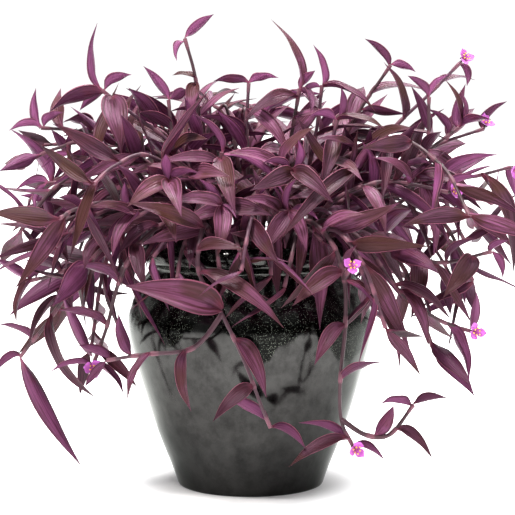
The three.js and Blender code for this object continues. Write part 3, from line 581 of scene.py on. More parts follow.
def leafy_stem_tree():
    tree, first, last = geometry_tree("grow_leafy_stem", {
        "Stations": ("NodeSocketInt", 18),
        "Around Leaf": ("NodeSocketInt", 14),
        "Around Stem": ("NodeSocketInt", 10),
        "Thickness": ("NodeSocketFloat", 1.0 * MM),
        "Wave": ("NodeSocketFloat", 0.09),
        "Leaf": ("NodeSocketMaterial", None),
        "Stem": ("NodeSocketMaterial", None),
    })
    given = first.outputs
    is_stem = maths(tree, "GREATER_THAN", named(tree, "is_stem"), 0.5)
    parts = {"Geometry": given["Geometry"], "Selection": is_stem}
    parts = add(tree, "GeometryNodeSeparateGeometry", parts).outputs

    midribs = add(tree, "GeometryNodeMeshToCurve", {"Mesh": parts["Inverted"]}).outputs["Curve"]
    smooth = add(tree, "GeometryNodeCurveSplineType", {"Curve": midribs}, spline_type="CATMULL_ROM")
    spaced = add(tree, "GeometryNodeResampleCurve", {"Curve": smooth.outputs[0], "Count": given["Stations"]})
    spaced, line = keep(tree, spaced.outputs["Curve"], {
        "Along": ("FLOAT", add(tree, "GeometryNodeSplineParameter").outputs["Factor"]),
        "Centre": ("VECTOR", position(tree)),
        "Tangent": ("VECTOR", add(tree, "GeometryNodeInputTangent").outputs[0]),
    })
    ring = add(tree, "GeometryNodeCurvePrimitiveCircle", {"Resolution": given["Around Leaf"], "Radius": 1.0})
    at = add(tree, "ShaderNodeSeparateXYZ", {0: position(tree)}).outputs
    section = {"Across": ("FLOAT", at["X"]), "Face": ("FLOAT", at["Y"])}
    ring, section = keep(tree, ring.outputs["Curve"], section)
    swept = add(tree, "GeometryNodeCurveToMesh", {"Curve": spaced, "Profile Curve": ring, "Fill Caps": True})

    along, across, face = line["Along"], section["Across"], section["Face"]
    upper = vectors(tree, "NORMALIZE", named(tree, "upper", "FLOAT_VECTOR"))
    side = vectors(tree, "NORMALIZE", vectors(tree, "CROSS_PRODUCT", upper, line["Tangent"]))
    upper = vectors(tree, "CROSS_PRODUCT", line["Tangent"], side)
    half = maths(tree, "MULTIPLY", named(tree, "half_width"), float_curve(tree, along, LEAF_SHAPE))
    fold = maths(tree, "ADD", named(tree, "fold"), float_curve(tree, along, CLASP))
    spread = maths(tree, "MULTIPLY", across, half)
    out = maths(tree, "MULTIPLY", spread, maths(tree, "COSINE", fold))
    squared = maths(tree, "MULTIPLY", across, across)
    keel = maths(tree, "SQRT", maths(tree, "ADD", squared, ROUND_KEEL))
    keel = maths(tree, "SUBTRACT", keel, math.sqrt(ROUND_KEEL))
    rise = maths(tree, "MULTIPLY", maths(tree, "MULTIPLY", keel, half), maths(tree, "SINE", fold))
    margin = maths(tree, "MULTIPLY", squared, half)
    slant = maths(tree, "MULTIPLY_ADD", across, WAVE_SLANT, named(tree, "phase"))
    turn = maths(tree, "MULTIPLY_ADD", along, named(tree, "waves"), slant)
    height = maths(tree, "MULTIPLY", margin, given["Wave"])
    wave = maths(tree, "MULTIPLY", height, maths(tree, "SINE", turn))
    depth = maths(tree, "MULTIPLY", face, given["Thickness"])
    depth = maths(tree, "MULTIPLY", depth, float_curve(tree, along, FLESH))
    lift = maths(tree, "ADD", maths(tree, "ADD", rise, wave), maths(tree, "MULTIPLY", depth, 0.5))
    lift = maths(tree, "ADD", lift, maths(tree, "MULTIPLY", margin, named(tree, "rim_curl")))
    place = vectors(tree, "ADD", line["Centre"], vectors(tree, "SCALE", side, scale=out))
    place = vectors(tree, "ADD", place, vectors(tree, "SCALE", upper, scale=lift))
    blades = {"Geometry": swept.outputs["Mesh"], "Position": place}
    blades = add(tree, "GeometryNodeSetPosition", blades).outputs[0]
    for label, value in (("along", along), ("across", across), ("face", face)):
        blades = store(tree, blades, label, value)

    lines = add(tree, "GeometryNodeMeshToCurve", {"Mesh": parts["Selection"]}).outputs["Curve"]
    circle = {"Resolution": given["Around Stem"], "Radius": 1.0}
    circle = add(tree, "GeometryNodeCurvePrimitiveCircle", circle).outputs["Curve"]
    tubes = add(tree, "GeometryNodeCurveToMesh", {
        "Curve": lines, "Profile Curve": circle, "Scale": named(tree, "radius"), "Fill Caps": True,
    })

    whole = join(tree, tubes.outputs["Mesh"], blades)
    whole = add(tree, "GeometryNodeSetShadeSmooth", {"Geometry": whole}).outputs[0]
    whole = add(tree, "GeometryNodeRealizeInstances", {"Geometry": whole}).outputs[0]
    whole = add(tree, "GeometryNodeSetMaterial", {"Geometry": whole, "Material": given["Leaf"]}).outputs[0]
    whole = add(tree, "GeometryNodeSetMaterial", {
        "Geometry": whole,
        "Selection": maths(tree, "GREATER_THAN", named(tree, "is_stem"), 0.5),
        "Material": given["Stem"],
    }).outputs[0]
    tree.links.new(whole, last.inputs[0])
    return tree


grow_leafy_stem = leafy_stem_tree()
print("tree for leafy stems:", len(grow_leafy_stem.nodes), "nodes")

# %% [markdown]
# ## Finishes
# Each finish is a shader whose colour, roughness and height come from a node group, so the same group can
# serve every leaf. The groups read attributes that the trees stored on the leaves: how far along, how far
# across, and which face. A leaf is plum above with browner patches, rosy at the margin with a thin painted
# highlight there, and violet beneath, and the leaves that hang low get painted shade. Its colours are laid
# one over the other, each with a mask that says where it shows.

# %% Helpers for materials
LOOK = {"Color": "NodeSocketColor", "Roughness": "NodeSocketFloat", "Height": "NodeSocketFloat"}
NUMBER, PLACE = ("NodeSocketFloat", 0.0), ("NodeSocketVector", (0, 0, 0))


def shader_group(name, inputs, outputs):
    tree = bpy.data.node_groups.new(name, "ShaderNodeTree")
    for label, (kind, value) in inputs.items():
        socket = tree.interface.new_socket(label, in_out="INPUT", socket_type=kind)
        socket.default_value = value
    for label, kind in outputs.items():
        tree.interface.new_socket(label, in_out="OUTPUT", socket_type=kind)
    return tree, tree.nodes.new("NodeGroupInput").outputs, tree.nodes.new("NodeGroupOutput").inputs


def blend_colours(tree, share, first, second):
    values = {"Factor": share, 6: first, 7: second}
    return add(tree, "ShaderNodeMix", values, data_type="RGBA").outputs[2]


def layered(tree, skin, *layers):
    """Lays colours over a skin one after the other. A layer is the share of it that shows, and its colour."""
    for share, layer in layers:
        skin = blend_colours(tree, share, skin, layer)
    return skin


def smooth_step(tree, value, low, high, start=0.0, end=1.0):
    values = {"Value": value, "From Min": low, "From Max": high, "To Min": start, "To Max": end}
    return add(tree, "ShaderNodeMapRange", values, interpolation_type="SMOOTHSTEP").outputs["Result"]


def speckle(tree, place, scale, detail=2.0, roughness=0.5):
    values = {"Vector": place, "Scale": scale, "Detail": detail, "Roughness": roughness}
    return add(tree, "ShaderNodeTexNoise", values).outputs["Fac"]


def object_place(tree):
    return add(tree, "ShaderNodeTexCoord").outputs["Object"]


def attribute(tree, name):
    return add(tree, "ShaderNodeAttribute", attribute_name=name).outputs["Fac"]


def readings(*labels):
    """What a finish reads for each input: the attribute of the same name, and for Place the object's own."""
    found = {label: (lambda tree, name=label.lower(): attribute(tree, name)) for label in labels}
    return {**found, "Place": object_place}


def finished(tree, out, **looks):
    """Joins a group's results to its outputs, and returns the group."""
    for label, value in looks.items():
        tree.links.new(value, out[label])
    return tree


def finish_of(name, group, sources, settings, bump, reach):
    """A material: a group's colour, roughness and height on one shader, with constants set on the shader."""
    material = bpy.data.materials.new(name)
    material.use_nodes = True
    tree = material.node_tree
    shader = tree.nodes["Principled BSDF"]
    for label, value in settings.items():
        shader.inputs[label].default_value = value
    look = add(tree, "ShaderNodeGroup", node_tree=group)
    for label, source in sources.items():
        tree.links.new(source(tree), look.inputs[label])
    tree.links.new(look.outputs["Color"], shader.inputs["Base Color"])
    tree.links.new(look.outputs["Roughness"], shader.inputs["Roughness"])
    if "Metallic" in look.outputs:
        tree.links.new(look.outputs["Metallic"], shader.inputs["Metallic"])
    relief = {"Strength": bump, "Distance": reach, "Height": look.outputs["Height"]}
    relief = add(tree, "ShaderNodeBump", relief).outputs["Normal"]
    tree.links.new(relief, shader.inputs["Normal"])
    return material


make_floor()
studio_sky()
print("a white floor and a white sky")

# %% Leaf finish
# The first four each run from the darkest leaves to the lightest.
PLUM = colour(63, 36, 47), colour(148, 87, 124)
DEEP = colour(30, 14, 16), colour(78, 39, 46)
BENEATH = colour(70, 35, 56), colour(144, 78, 124)
BRIGHT = colour(104, 53, 86), colour(158, 89, 137)
BROWN_PATCH, RED_PATCH = colour(72, 44, 27), colour(88, 38, 44)
WINE_STREAK, RUSTY_CLOUD = colour(62, 24, 38), colour(100, 42, 46)
LOW_LEAF_SHADE_COLOUR, ROSY_CLASP, DARK_KEEL = colour(46, 19, 25), colour(136, 66, 84), colour(56, 22, 36)
DARK_BAND, ROSY_RIM_AND_HIGHLIGHT, DARK_VEIN = colour(36, 11, 16), colour(150, 84, 106), colour(34, 16, 26)
LOW_LEAF_SHADE_HEIGHTS = (0.25, 0.37, 0.42, 0)  # painted shade on the leaves that hang low under the crown: from and to (m) above the floor, share there


def leaf_group():
    tree, given, out = shader_group("leaf_look", {
        "Along": NUMBER, "Across": NUMBER, "Face": NUMBER, "Tint": NUMBER, "Bract": NUMBER, "Place": PLACE,
    }, LOOK)
    along, across, tint, place = (given[label] for label in ("Along", "Across", "Tint", "Place"))
    aside = maths(tree, "ABSOLUTE", across)
    above_floor = add(tree, "ShaderNodeSeparateXYZ", {0: place}).outputs["Z"]
    lane = add(tree, "ShaderNodeCombineXYZ", {
        0: maths(tree, "MULTIPLY", along, 1.6),
        1: maths(tree, "MULTIPLY", across, 3.2),
        2: maths(tree, "MULTIPLY", tint, 70),
    }).outputs[0]
    streak = speckle(tree, lane, 1.7, 5, 0.62)
    cloud = speckle(tree, place, 45, 3)
    patch = speckle(tree, place, 16)
    grain = speckle(tree, place, 900, 1)
    wobble = maths(tree, "MULTIPLY_ADD", streak, 5, maths(tree, "MULTIPLY", across, 26))
    veins = maths(tree, "MULTIPLY_ADD", maths(tree, "SINE", wobble), 0.5, 0.5)

    above = layered(
        tree, blend_colours(tree, tint, *DEEP),
        (smooth_step(tree, streak, 0.32, 0.68), blend_colours(tree, tint, *PLUM)),
        (smooth_step(tree, patch, 0.48, 0.62, 0, 0.7), BROWN_PATCH),
        (smooth_step(tree, patch, 0.32, 0.44, 0.35, 0), RED_PATCH),
    )
    below = layered(
        tree, blend_colours(tree, tint, *BENEATH),
        (smooth_step(tree, streak, 0.35, 0.55, 0.7, 0), WINE_STREAK),
        (smooth_step(tree, cloud, 0.5, 0.75, 0, 0.5), RUSTY_CLOUD),
    )
    skin = layered(
        tree, above,
        (smooth_step(tree, given["Face"], -0.25, 0.25, 1, 0), below),
        (maths(tree, "MULTIPLY", given["Bract"], 0.7), blend_colours(tree, tint, *BRIGHT)),
        # painted shade: the leaves that hang low, under the crown, are darkened towards the floor
        (smooth_step(tree, above_floor, *LOW_LEAF_SHADE_HEIGHTS), LOW_LEAF_SHADE_COLOUR),
        (smooth_step(tree, along, 0.02, 0.16, 0.6, 0), ROSY_CLASP),
        (smooth_step(tree, aside, 0.0, 0.1, 0.5, 0), DARK_KEEL),
        (smooth_step(tree, aside, 0.7, 0.86, 0, 0.6), DARK_BAND),
        # the margin's own rosy colour, with a painted highlight where light catches the margin's edge
        (smooth_step(tree, aside, 0.9, 0.97, 0, 0.75), ROSY_RIM_AND_HIGHLIGHT),
        (maths(tree, "MULTIPLY", veins, 0.07), DARK_VEIN),
    )
    return finished(tree, out, Color=skin, Roughness=maths(tree, "MULTIPLY_ADD", streak, 0.16, 0.34),
                    Height=maths(tree, "MULTIPLY_ADD", grain, 0.4, veins))


leaf_skin = finish_of("leaf_skin", leaf_group(), readings("Along", "Across", "Face", "Tint", "Bract"), {
    "IOR": 1.34, "Specular Tint": colour(232, 196, 222),
}, bump=0.6, reach=0.35 * MM)

# %% Stem finish
BARK = colour(48, 27, 35), colour(76, 44, 54)
VIOLET_BARK, ROSY_SHEATH, PALE_STREAK = colour(90, 46, 74), colour(128, 76, 92), colour(72, 44, 56)


def stem_group():
    tree, given, out = shader_group("stem_look", {"Sheath": NUMBER, "Tint": NUMBER, "Place": PLACE}, LOOK)
    cloud = speckle(tree, given["Place"], 60)
    streaks = speckle(tree, vectors(tree, "MULTIPLY", given["Place"], (1, 1, 0.12)), 700, 1)
    skin = layered(
        tree, blend_colours(tree, cloud, *BARK),
        (smooth_step(tree, given["Tint"], 0.4, 1, 0, 0.6), VIOLET_BARK),
        (maths(tree, "MULTIPLY", given["Sheath"], 0.75), ROSY_SHEATH),
        (smooth_step(tree, streaks, 0.5, 0.7, 0, 0.3), PALE_STREAK),
    )
    rough = maths(tree, "MULTIPLY_ADD", cloud, 0.2, 0.38)
    return finished(tree, out, Color=skin, Roughness=rough, Height=streaks)


stem_skin = finish_of("stem_skin", stem_group(), readings("Sheath", "Tint"), {
    "IOR": 1.42, "Specular IOR Level": 0.5, "Sheen Weight": 0.08,
}, bump=0.25, reach=0.2 * MM)

# %% Petal and stamen finishes
PETAL_PINK = colour(178, 70, 178), colour(212, 116, 212)
PETAL_HEART_SHADE, PETAL_VEIN = colour(150, 24, 104), colour(190, 60, 180)
POLLEN_YELLOW = colour(214, 150, 20), colour(255, 226, 70)


def petal_group():
    tree, given, out = shader_group("petal_look", {"Along": NUMBER, "Across": NUMBER, "Place": PLACE}, LOOK)
    cloud = speckle(tree, given["Place"], 350)
    veins = maths(tree, "SINE", maths(tree, "MULTIPLY", given["Across"], 26))
    skin = layered(
        tree, blend_colours(tree, cloud, *PETAL_PINK),
        # painted shade deep in the cupped heart of the flower
        (smooth_step(tree, given["Along"], 0.05, 0.4, 0.85, 0), PETAL_HEART_SHADE),
        (smooth_step(tree, veins, 0.5, 1, 0, 0.3), PETAL_VEIN),
    )
    rough = maths(tree, "MULTIPLY_ADD", cloud, 0.2, 0.5)
    return finished(tree, out, Color=skin, Roughness=rough, Height=veins)


def pollen_group():
    tree, given, out = shader_group("pollen_look", {"Place": PLACE}, LOOK)
    grain = speckle(tree, given["Place"], 2500)
    return finished(tree, out, Color=blend_colours(tree, grain, *POLLEN_YELLOW), Height=grain,
                    Roughness=maths(tree, "MULTIPLY_ADD", grain, 0.2, 0.7))


petal_skin = finish_of("petal_skin", petal_group(), readings("Along", "Across"), {"Sheen Weight": 0.3},
                       bump=0.3, reach=0.15 * MM)
pollen = finish_of("pollen", pollen_group(), readings(), {}, bump=0.5, reach=0.1 * MM)

# %% Glaze finish
HAZE_ENDS = (0.255, 0.263)  # m: the height, with the runs added to it, where the haze gives way to black; below the shoulder that black is a painted dark reflection
FOOT_SHADE_TO_BELLY = (0, 0.17)  # m: from the foot, where the glaze throws back less as painted shade of the shadowed floor, to the belly
DOWNWARD = (1, 1, 0.1)  # draws a speckle out into runs
FLECK = colour(150, 156, 142)


def glaze_group():
    """
    Black glaze: hazy and faintly mottled below, and black with fine pale specks from the belly up. It is a
    dark mirror, so the body colour is the share of light that it throws back head-on. Towards the foot that
    share is lowered as painted shade of the shadowed floor, and from just above the belly's widest part down
    to the ragged edge of the runs it is almost nothing, a painted dark reflection.
    """
    tree, given, out = shader_group("glaze_look", {"Place": PLACE}, {**LOOK, "Metallic": "NodeSocketFloat"})
    place = given["Place"]
    height = add(tree, "ShaderNodeSeparateXYZ", {0: place}).outputs[2]
    runs_down = speckle(tree, vectors(tree, "MULTIPLY", place, DOWNWARD), 13, 2, 0.4)
    edge = maths(tree, "MULTIPLY_ADD", speckle(tree, place, 70, 3), 0.02, height)
    edge = maths(tree, "MULTIPLY_ADD", runs_down, 0.14, edge)
    belly_up = smooth_step(tree, edge, *HAZE_ENDS)
    mottle = speckle(tree, place, 48, 5, 0.65)
    runs = speckle(tree, vectors(tree, "MULTIPLY", place, DOWNWARD), 260)
    dots = add(tree, "ShaderNodeTexVoronoi", {"Vector": place, "Scale": 860, "Randomness": 1.0})
    fleck = smooth_step(tree, dots.outputs["Distance"], 0.1, 0.36, 1, 0)
    chosen = add(tree, "ShaderNodeSeparateColor", {0: dots.outputs["Color"]}).outputs[0]
    fleck = maths(tree, "MULTIPLY", fleck, smooth_step(tree, chosen, 0.25, 0.75))
    shown = maths(tree, "MULTIPLY", fleck, maths(tree, "MULTIPLY_ADD", belly_up, 0.85, 0.06))
    haze = maths(tree, "MULTIPLY_ADD", runs, 0.5, maths(tree, "MULTIPLY", mottle, 0.9), clamp=True)
    # painted shade: towards the foot the haze and the head-on reflection both fade, as if the floor there lay
    # in shadow
    haze = maths(tree, "MULTIPLY", smooth_step(tree, haze, 0.4, 0.85),
                 smooth_step(tree, height, *FOOT_SHADE_TO_BELLY, 0.25, 1))
    low = maths(tree, "MULTIPLY", smooth_step(tree, height, *FOOT_SHADE_TO_BELLY, 0.03, 0.037),
                smooth_step(tree, mottle, 0.3, 0.7, 0.72, 1.15))
    low = maths(tree, "MULTIPLY_ADD", haze, 0.009, low)
    # painted dark reflection: from just above the belly's widest part down to the ragged edge of the runs,
    # the glaze throws back almost nothing
    high = smooth_step(tree, height, 0.195, 0.215, 0.006, 0.04)
    gloss = maths(tree, "MULTIPLY_ADD", belly_up, maths(tree, "SUBTRACT", high, low), low)
    body = add(tree, "ShaderNodeCombineColor", {
        0: gloss, 1: maths(tree, "MULTIPLY", gloss, 0.985), 2: maths(tree, "MULTIPLY", gloss, 0.96),
    }).outputs[0]
    relief = maths(tree, "MULTIPLY", speckle(tree, place, 420, 3, 0.6),
                   maths(tree, "MULTIPLY_ADD", belly_up, 0.5, 0.1))
    relief = maths(tree, "MULTIPLY_ADD", speckle(tree, place, 20, 3), 3.5, relief)
    rough = maths(tree, "MULTIPLY_ADD", mottle, 0.2, 0.06)
    rough = maths(tree, "MULTIPLY_ADD", belly_up, -0.06, rough)
    return finished(tree, out, Color=blend_colours(tree, shown, body, FLECK), Roughness=rough, Height=relief,
                    Metallic=maths(tree, "SUBTRACT", 1, shown))


black_glaze = finish_of("black_glaze", glaze_group(), readings(), {
    "IOR": 1.5, "Specular Tint": colour(222, 224, 222),
}, bump=0.35, reach=0.6 * MM)

# %% Potting mix finish
PEAT, PALE_CRUMB = (colour(26, 18, 13), colour(74, 54, 38)), colour(120, 96, 70)


def potting_mix_group():
    tree, given, out = shader_group("potting_mix_look", {"Place": PLACE}, LOOK)
    clod = speckle(tree, given["Place"], 120, 4, 0.7)
    crumb = speckle(tree, given["Place"], 900)
    pale = smooth_step(tree, crumb, 0.62, 0.72, 0, 0.5)
    return finished(tree, out, Color=layered(tree, blend_colours(tree, clod, *PEAT), (pale, PALE_CRUMB)),
                    Roughness=maths(tree, "MULTIPLY_ADD", clod, 0.1, 0.88),
                    Height=maths(tree, "MULTIPLY_ADD", crumb, 0.6, clod))


potting_mix = finish_of("damp_potting_mix", potting_mix_group(), readings(), {}, bump=0.8, reach=1 * MM)
print("finishes:", sorted(m.name for m in bpy.data.materials))

# %% [markdown]
# ## The pot
# The pot is thrown on a wheel: a flared body with a round shoulder, a narrow neck with a few thin ridges
# left by the thrower's fingers, and a heavy rolled rim. Everything on it is turned about one axis, so it is
# one profile swept round. The profile is a smooth curve through the pot's radii, with the ridges added
# to it, and the foot has a bevel so that it sits on a thin line of shadow.

# %% The pot's profile
POT_PROFILE = [  # [radius, height] of the outer face from the foot up, in millimetres
    (84.5, 2), (86.5, 8), (91.8, 22), (97.8, 37), (103.5, 51), (108.9, 65), (113.6, 79), (118, 93),
    (122.3, 107), (126.5, 121), (130.6, 135), (134.5, 149), (138.2, 163), (141, 177), (142, 188), (141, 198),
    (138.5, 206), (134.6, 217), (129, 229), (121.5, 241), (116.6, 248), (115.2, 251), (117, 255),
    (122, 258.6), (125.2, 263), (126, 268), (125.2, 273.5), (122.6, 278), (118.5, 281.2), (115, 282),
    (111.5, 281), (109.4, 278.5),
]
POT_INNER = [(108, 270), (107, 262), (107, 246), (113, 236), (120, 229), (128.6, 206), (133, 188),
             (117.5, 121), (88, 34), (82, 20), (76, 12.5), (60, 11), (0, 11)]
POT_RIDGES = [(241, 1.3, 0.55), (245, 1.2, 0.5), (260.5, 0.9, 0.5), (275.2, 1.0, 0.45), (269, 0.8, 0.25)]
POT_FOOT = [(0, 0), (70, 0), (82.5, 0), (83.6, 0.5)]
POT_TURNS = 144
PROFILE_SAMPLES, PROFILE_STEP = 20, 1.8  # between two points of the profile, and the step that is kept, mm
DRAIN_RING, DRAIN_RADIUS, DRAIN_COUNT = 46, 5.5, 3


def smooth_profile(points, step):
    """A curve through [radius, height] points, at about equal steps."""
    row = [Vector((*p, 0)) for p in points]
    samples = PROFILE_SAMPLES * (len(row) - 1) + 1
    fine = [spline_point(row, k / PROFILE_SAMPLES) for k in range(samples)]
    kept = [fine[0]]
    for point in fine[1:-1]:
        if (point - kept[-1]).length >= step:
            kept.append(point)
    return [(p.x, p.y) for p in [*kept, fine[-1]]]


def ridged(radius, height):
    for level, breadth, size in POT_RIDGES:
        radius += size * math.exp(-((height - level) / breadth) ** 2)
    return radius


def turned(name, profile, turns):
    """Sweeps a profile of (radius, height) in millimetres round the upright axis; radius 0 closes a pole."""
    corners, rings, faces = [], [], []
    for radius, height in profile:
        count = turns if radius > 0 else 1
        rings.append(range(len(corners), len(corners) + count))
        for k in range(count):
            angle = math.tau * k / turns
            corners.append(Vector((radius * math.cos(angle), radius * math.sin(angle), height)) * MM)
    for low, high in zip(rings, rings[1:]):
        for k in range(turns):
            a, b = low[k % len(low)], low[(k + 1) % len(low)]
            c, d = high[(k + 1) % len(high)], high[k % len(high)]
            faces.append([v for i, v in enumerate((a, b, c, d)) if v not in (a, b, c, d)[:i]])
    return mesh_from(name, corners, faces)

# %% Turn the pot
DRILL_SIDES, DRILL_REACH = 24, (-5, 20)  # mm, from below the floor to above it


def drain_holes(pot):
    """Cuts the drain holes through the floor, and leaves the pot a plain mesh."""
    sides = DRILL_SIDES
    for k in range(DRAIN_COUNT):
        angle = math.tau * k / DRAIN_COUNT
        corners = []
        for height in DRILL_REACH:
            for s in range(sides):
                turn = math.tau * s / sides
                x = DRAIN_RING * math.cos(angle) + DRAIN_RADIUS * math.cos(turn)
                y = DRAIN_RING * math.sin(angle) + DRAIN_RADIUS * math.sin(turn)
                corners.append(Vector((x, y, height)) * MM)
        faces = [[s, (s + 1) % sides, sides + (s + 1) % sides, sides + s] for s in range(sides)]
        faces += [list(range(sides))[::-1], list(range(sides, 2 * sides))]
        cutter = mesh_from("drill", corners, faces)
        cut = pot.modifiers.new("drill", "BOOLEAN")
        cut.object, cut.operation, cut.solver = cutter, "DIFFERENCE", "EXACT"
        evaluated = pot.evaluated_get(bpy.context.evaluated_depsgraph_get())
        mesh = bpy.data.meshes.new_from_object(evaluated)
        pot.modifiers.clear()
        pot.data = mesh
        bpy.data.objects.remove(cutter)
    pot.data.name = pot.name


outer = [(ridged(r, z), z) for r, z in smooth_profile(POT_PROFILE, PROFILE_STEP)]
pot = turned("glazed_pot", [*POT_FOOT, *outer, *POT_INNER], POT_TURNS)
drain_holes(pot)
pot.data.materials.clear()
pot.data.materials.append(black_glaze)
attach(pot, "root")
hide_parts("pot")
widest = 2 * max(v.co.x for v in pot.data.vertices) / MM
print("pot:", len(pot.data.polygons), "faces, widest", round(widest, 1), "mm")

# %% [markdown]
# ## The potting mix
# The mix is a dark, crumbly peat with bark. Its top is a low dome with small hollows and clods, and loose
# crumbs lie on it. The dome is a turned shape whose top is roughened with a smooth noise. One small faceted
# crumb is scattered over it by Geometry Nodes, and each crumb sinks a little into the surface.

# %% Shape the mix and scatter crumbs
SOIL_SIDES = 96
SOIL_INNER = [(0, 11.5), (60, 11.5), (75.5, 13), (81.5, 20.5), (87.5, 34), (117, 121), (132.5, 188),
              (128, 206), (119.6, 229), (112.6, 236), (106.6, 246), (106.6, 255)]
SOIL_RINGS = (104, 100, 95, 89, 82, 75, 68, 60, 53, 46, 39, 32, 25, 18, 12, 6, 0)  # radii of its top, mm
SOIL_CROWN, SOIL_SHOULDER, SOIL_EDGE = 265, 261, 256.6  # heights of its top, mm
SHOULDER_RADIUS, EDGE_BREADTH = 60, 46.6  # mm
SOIL_ROUGHNESS = 2.2  # height of clods above and below the dome, mm
ROUGH_ABOVE, ROUGH_RADIUS, ROUGH_FADE = 0.2562, 105, 8  # m, and then mm: the clods fade out at the wall
CRUMBS_ABOVE = 0.2565  # m
FULL_TURN = (6.28, 6.28, 6.28)


def soil_height(radius):
    if radius < SHOULDER_RADIUS:
        return mix(SOIL_CROWN, SOIL_SHOULDER, (radius / SHOULDER_RADIUS) ** 2)
    return mix(SOIL_SHOULDER, SOIL_EDGE, (radius - SHOULDER_RADIUS) / EDGE_BREADTH)


def crumb_tree():
    tree, first, last = geometry_tree("scatter_crumbs", {
        "Crumbs": ("NodeSocketFloat", 26000.0),  # to a square metre
        "Size": ("NodeSocketFloat", 1.5 * MM),
        "Seed": ("NodeSocketInt", 5),
        "Material": ("NodeSocketMaterial", None),
    })
    given = first.outputs
    height = add(tree, "ShaderNodeSeparateXYZ", {0: position(tree)}).outputs[2]
    spots = add(tree, "GeometryNodeDistributePointsOnFaces", {
        "Mesh": given["Geometry"], "Density": given["Crumbs"], "Seed": given["Seed"],
        "Selection": maths(tree, "GREATER_THAN", height, CRUMBS_ABOVE),
    })
    crumb = {"Radius": given["Size"], "Subdivisions": 1}
    crumb = add(tree, "GeometryNodeMeshIcoSphere", crumb).outputs["Mesh"]

    def chance(low, high, seed, kind="FLOAT_VECTOR"):
        first_input = 0 if kind == "FLOAT_VECTOR" else 2
        values = {first_input: low, first_input + 1: high, "Seed": seed}
        return add(tree, "FunctionNodeRandomValue", values, data_type=kind).outputs

    size = chance(0.45, 1.7, given["Seed"], "FLOAT")[1]
    turn = chance((0, 0, 0), FULL_TURN, 9)["Value"]
    stretch = vectors(tree, "SCALE", chance((0.6, 0.6, 0.5), (1.5, 1.1, 0.9), 3)["Value"], scale=size)
    crumbs = add(tree, "GeometryNodeInstanceOnPoints", {
        "Points": spots.outputs["Points"], "Instance": crumb, "Rotation": turn, "Scale": stretch,
    }).outputs["Instances"]
    whole = join(tree, crumbs, given["Geometry"])
    whole = add(tree, "GeometryNodeRealizeInstances", {"Geometry": whole}).outputs[0]
    whole = {"Geometry": whole, "Material": given["Material"]}
    whole = add(tree, "GeometryNodeSetMaterial", whole).outputs[0]
    tree.links.new(whole, last.inputs[0])
    return tree


dome = turned("dome", [*SOIL_INNER, *((r, soil_height(r)) for r in SOIL_RINGS)], SOIL_SIDES)
for vertex in dome.data.vertices:
    radius = vertex.co.xy.length / MM
    if vertex.co.z > ROUGH_ABOVE and radius < ROUGH_RADIUS:
        clods = noise.noise(vertex.co / (9 * MM)) + 0.5 * noise.noise(vertex.co / (4 * MM))
        vertex.co.z += SOIL_ROUGHNESS * MM * clods * min(1, (ROUGH_RADIUS - radius) / ROUGH_FADE)
soil = grow(dome, crumb_tree(), {"Material": potting_mix}, "potting_mix_top")
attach(soil, "root")
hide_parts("soil")
print("soil:", len(soil.data.polygons), "faces")

# %% [markdown]
# ## Room for more leaves
# A full pot of purple heart holds far more leaves than its solids show, and they press close without
# passing through each other. Every new leaf is therefore tried first as a coarse net of two layers. The
# nets of all leaves and stems so far are kept in search trees, and a new net that crosses one of them is
# turned, shortened and tried again. A net is coarser than its leaf and leaves out the foot that clasps the
# stem. The nets don't rule out every crossing: some finished leaves and stems still cross a neighbour.

# %% Nets that stand for leaves and stems
BREADTH = 1.14  # the fine leaves curve inward at the margin, so they start a little broader
NET_LIFT = 1.1 * MM  # of each layer from the middle of the leaf
NET_TAPER = 0.8  # the share of it lost at the tip
NET_STATIONS = 9
NET_ACROSS = (-1, -0.5, 0, 0.5, 1)
TUBE_SIDES = 5
BOX_SLACK = 1.5 * MM
DOME_TOP, DOME_FALL, DOME_TILT = 458 * MM, 0.5, 0.06  # metres, metres per square metre, and rise to the right
DOME_SWELL, DOME_GRAIN = 84 * MM, 17  # the dome is uneven: how high it swells, and how many swells to a metre
BOX_LOW, BOX_HIGH = (Vector(corner) for corner in cad_box)
MERGE_AFTER = 30  # nets


def shape_at(points, place):
    """Reads a line of (place, height) points."""
    for (a, low), (b, high) in zip(points, points[1:]):
        if place <= b:
            return mix(low, high, (place - a) / (b - a))
    return points[-1][1]


def leaf_net(line, uppers, half_width, fold, bare=0.0):
    """Two layers of faces over a leaf, from the share `bare` of its length to the tip."""
    corners, faces, row = [], [], len(NET_ACROSS)
    for k in range(NET_STATIONS):
        share = mix(bare, 1, k / (NET_STATIONS - 1))
        place = share * (len(line) - 1)
        index = min(int(place), len(line) - 2)
        centre, upper = spline_point(line, place), uppers[index].lerp(uppers[index + 1], place - index)
        way = (line[index + 1] - line[index]).normalized()
        side = upper.cross(way).normalized()
        upper = way.cross(side)
        half = half_width * BREADTH * shape_at(LEAF_SHAPE, share)
        for lift in (NET_LIFT, -NET_LIFT):
            for u in NET_ACROSS:
                rise = abs(u) * half * math.sin(fold) + lift * (1 - NET_TAPER * share)
                corners.append(centre + side * (u * half * math.cos(fold)) + upper * rise)
    for k in range(NET_STATIONS - 1):
        for layer in (0, 1):
            first = (2 * k + layer) * row
            faces += [(first + c, first + c + 1, first + 2 * row + c + 1, first + 2 * row + c)
                      for c in range(row - 1)]
    return corners, faces


def way_round(first, second, angle):
    """The direction at an angle round a line, from two directions across it."""
    return first * math.cos(angle) + second * math.sin(angle)


def ring_round(point, side, other, radius, sides):
    return [point + way_round(side, other, math.tau * s / sides) * radius for s in range(sides)]


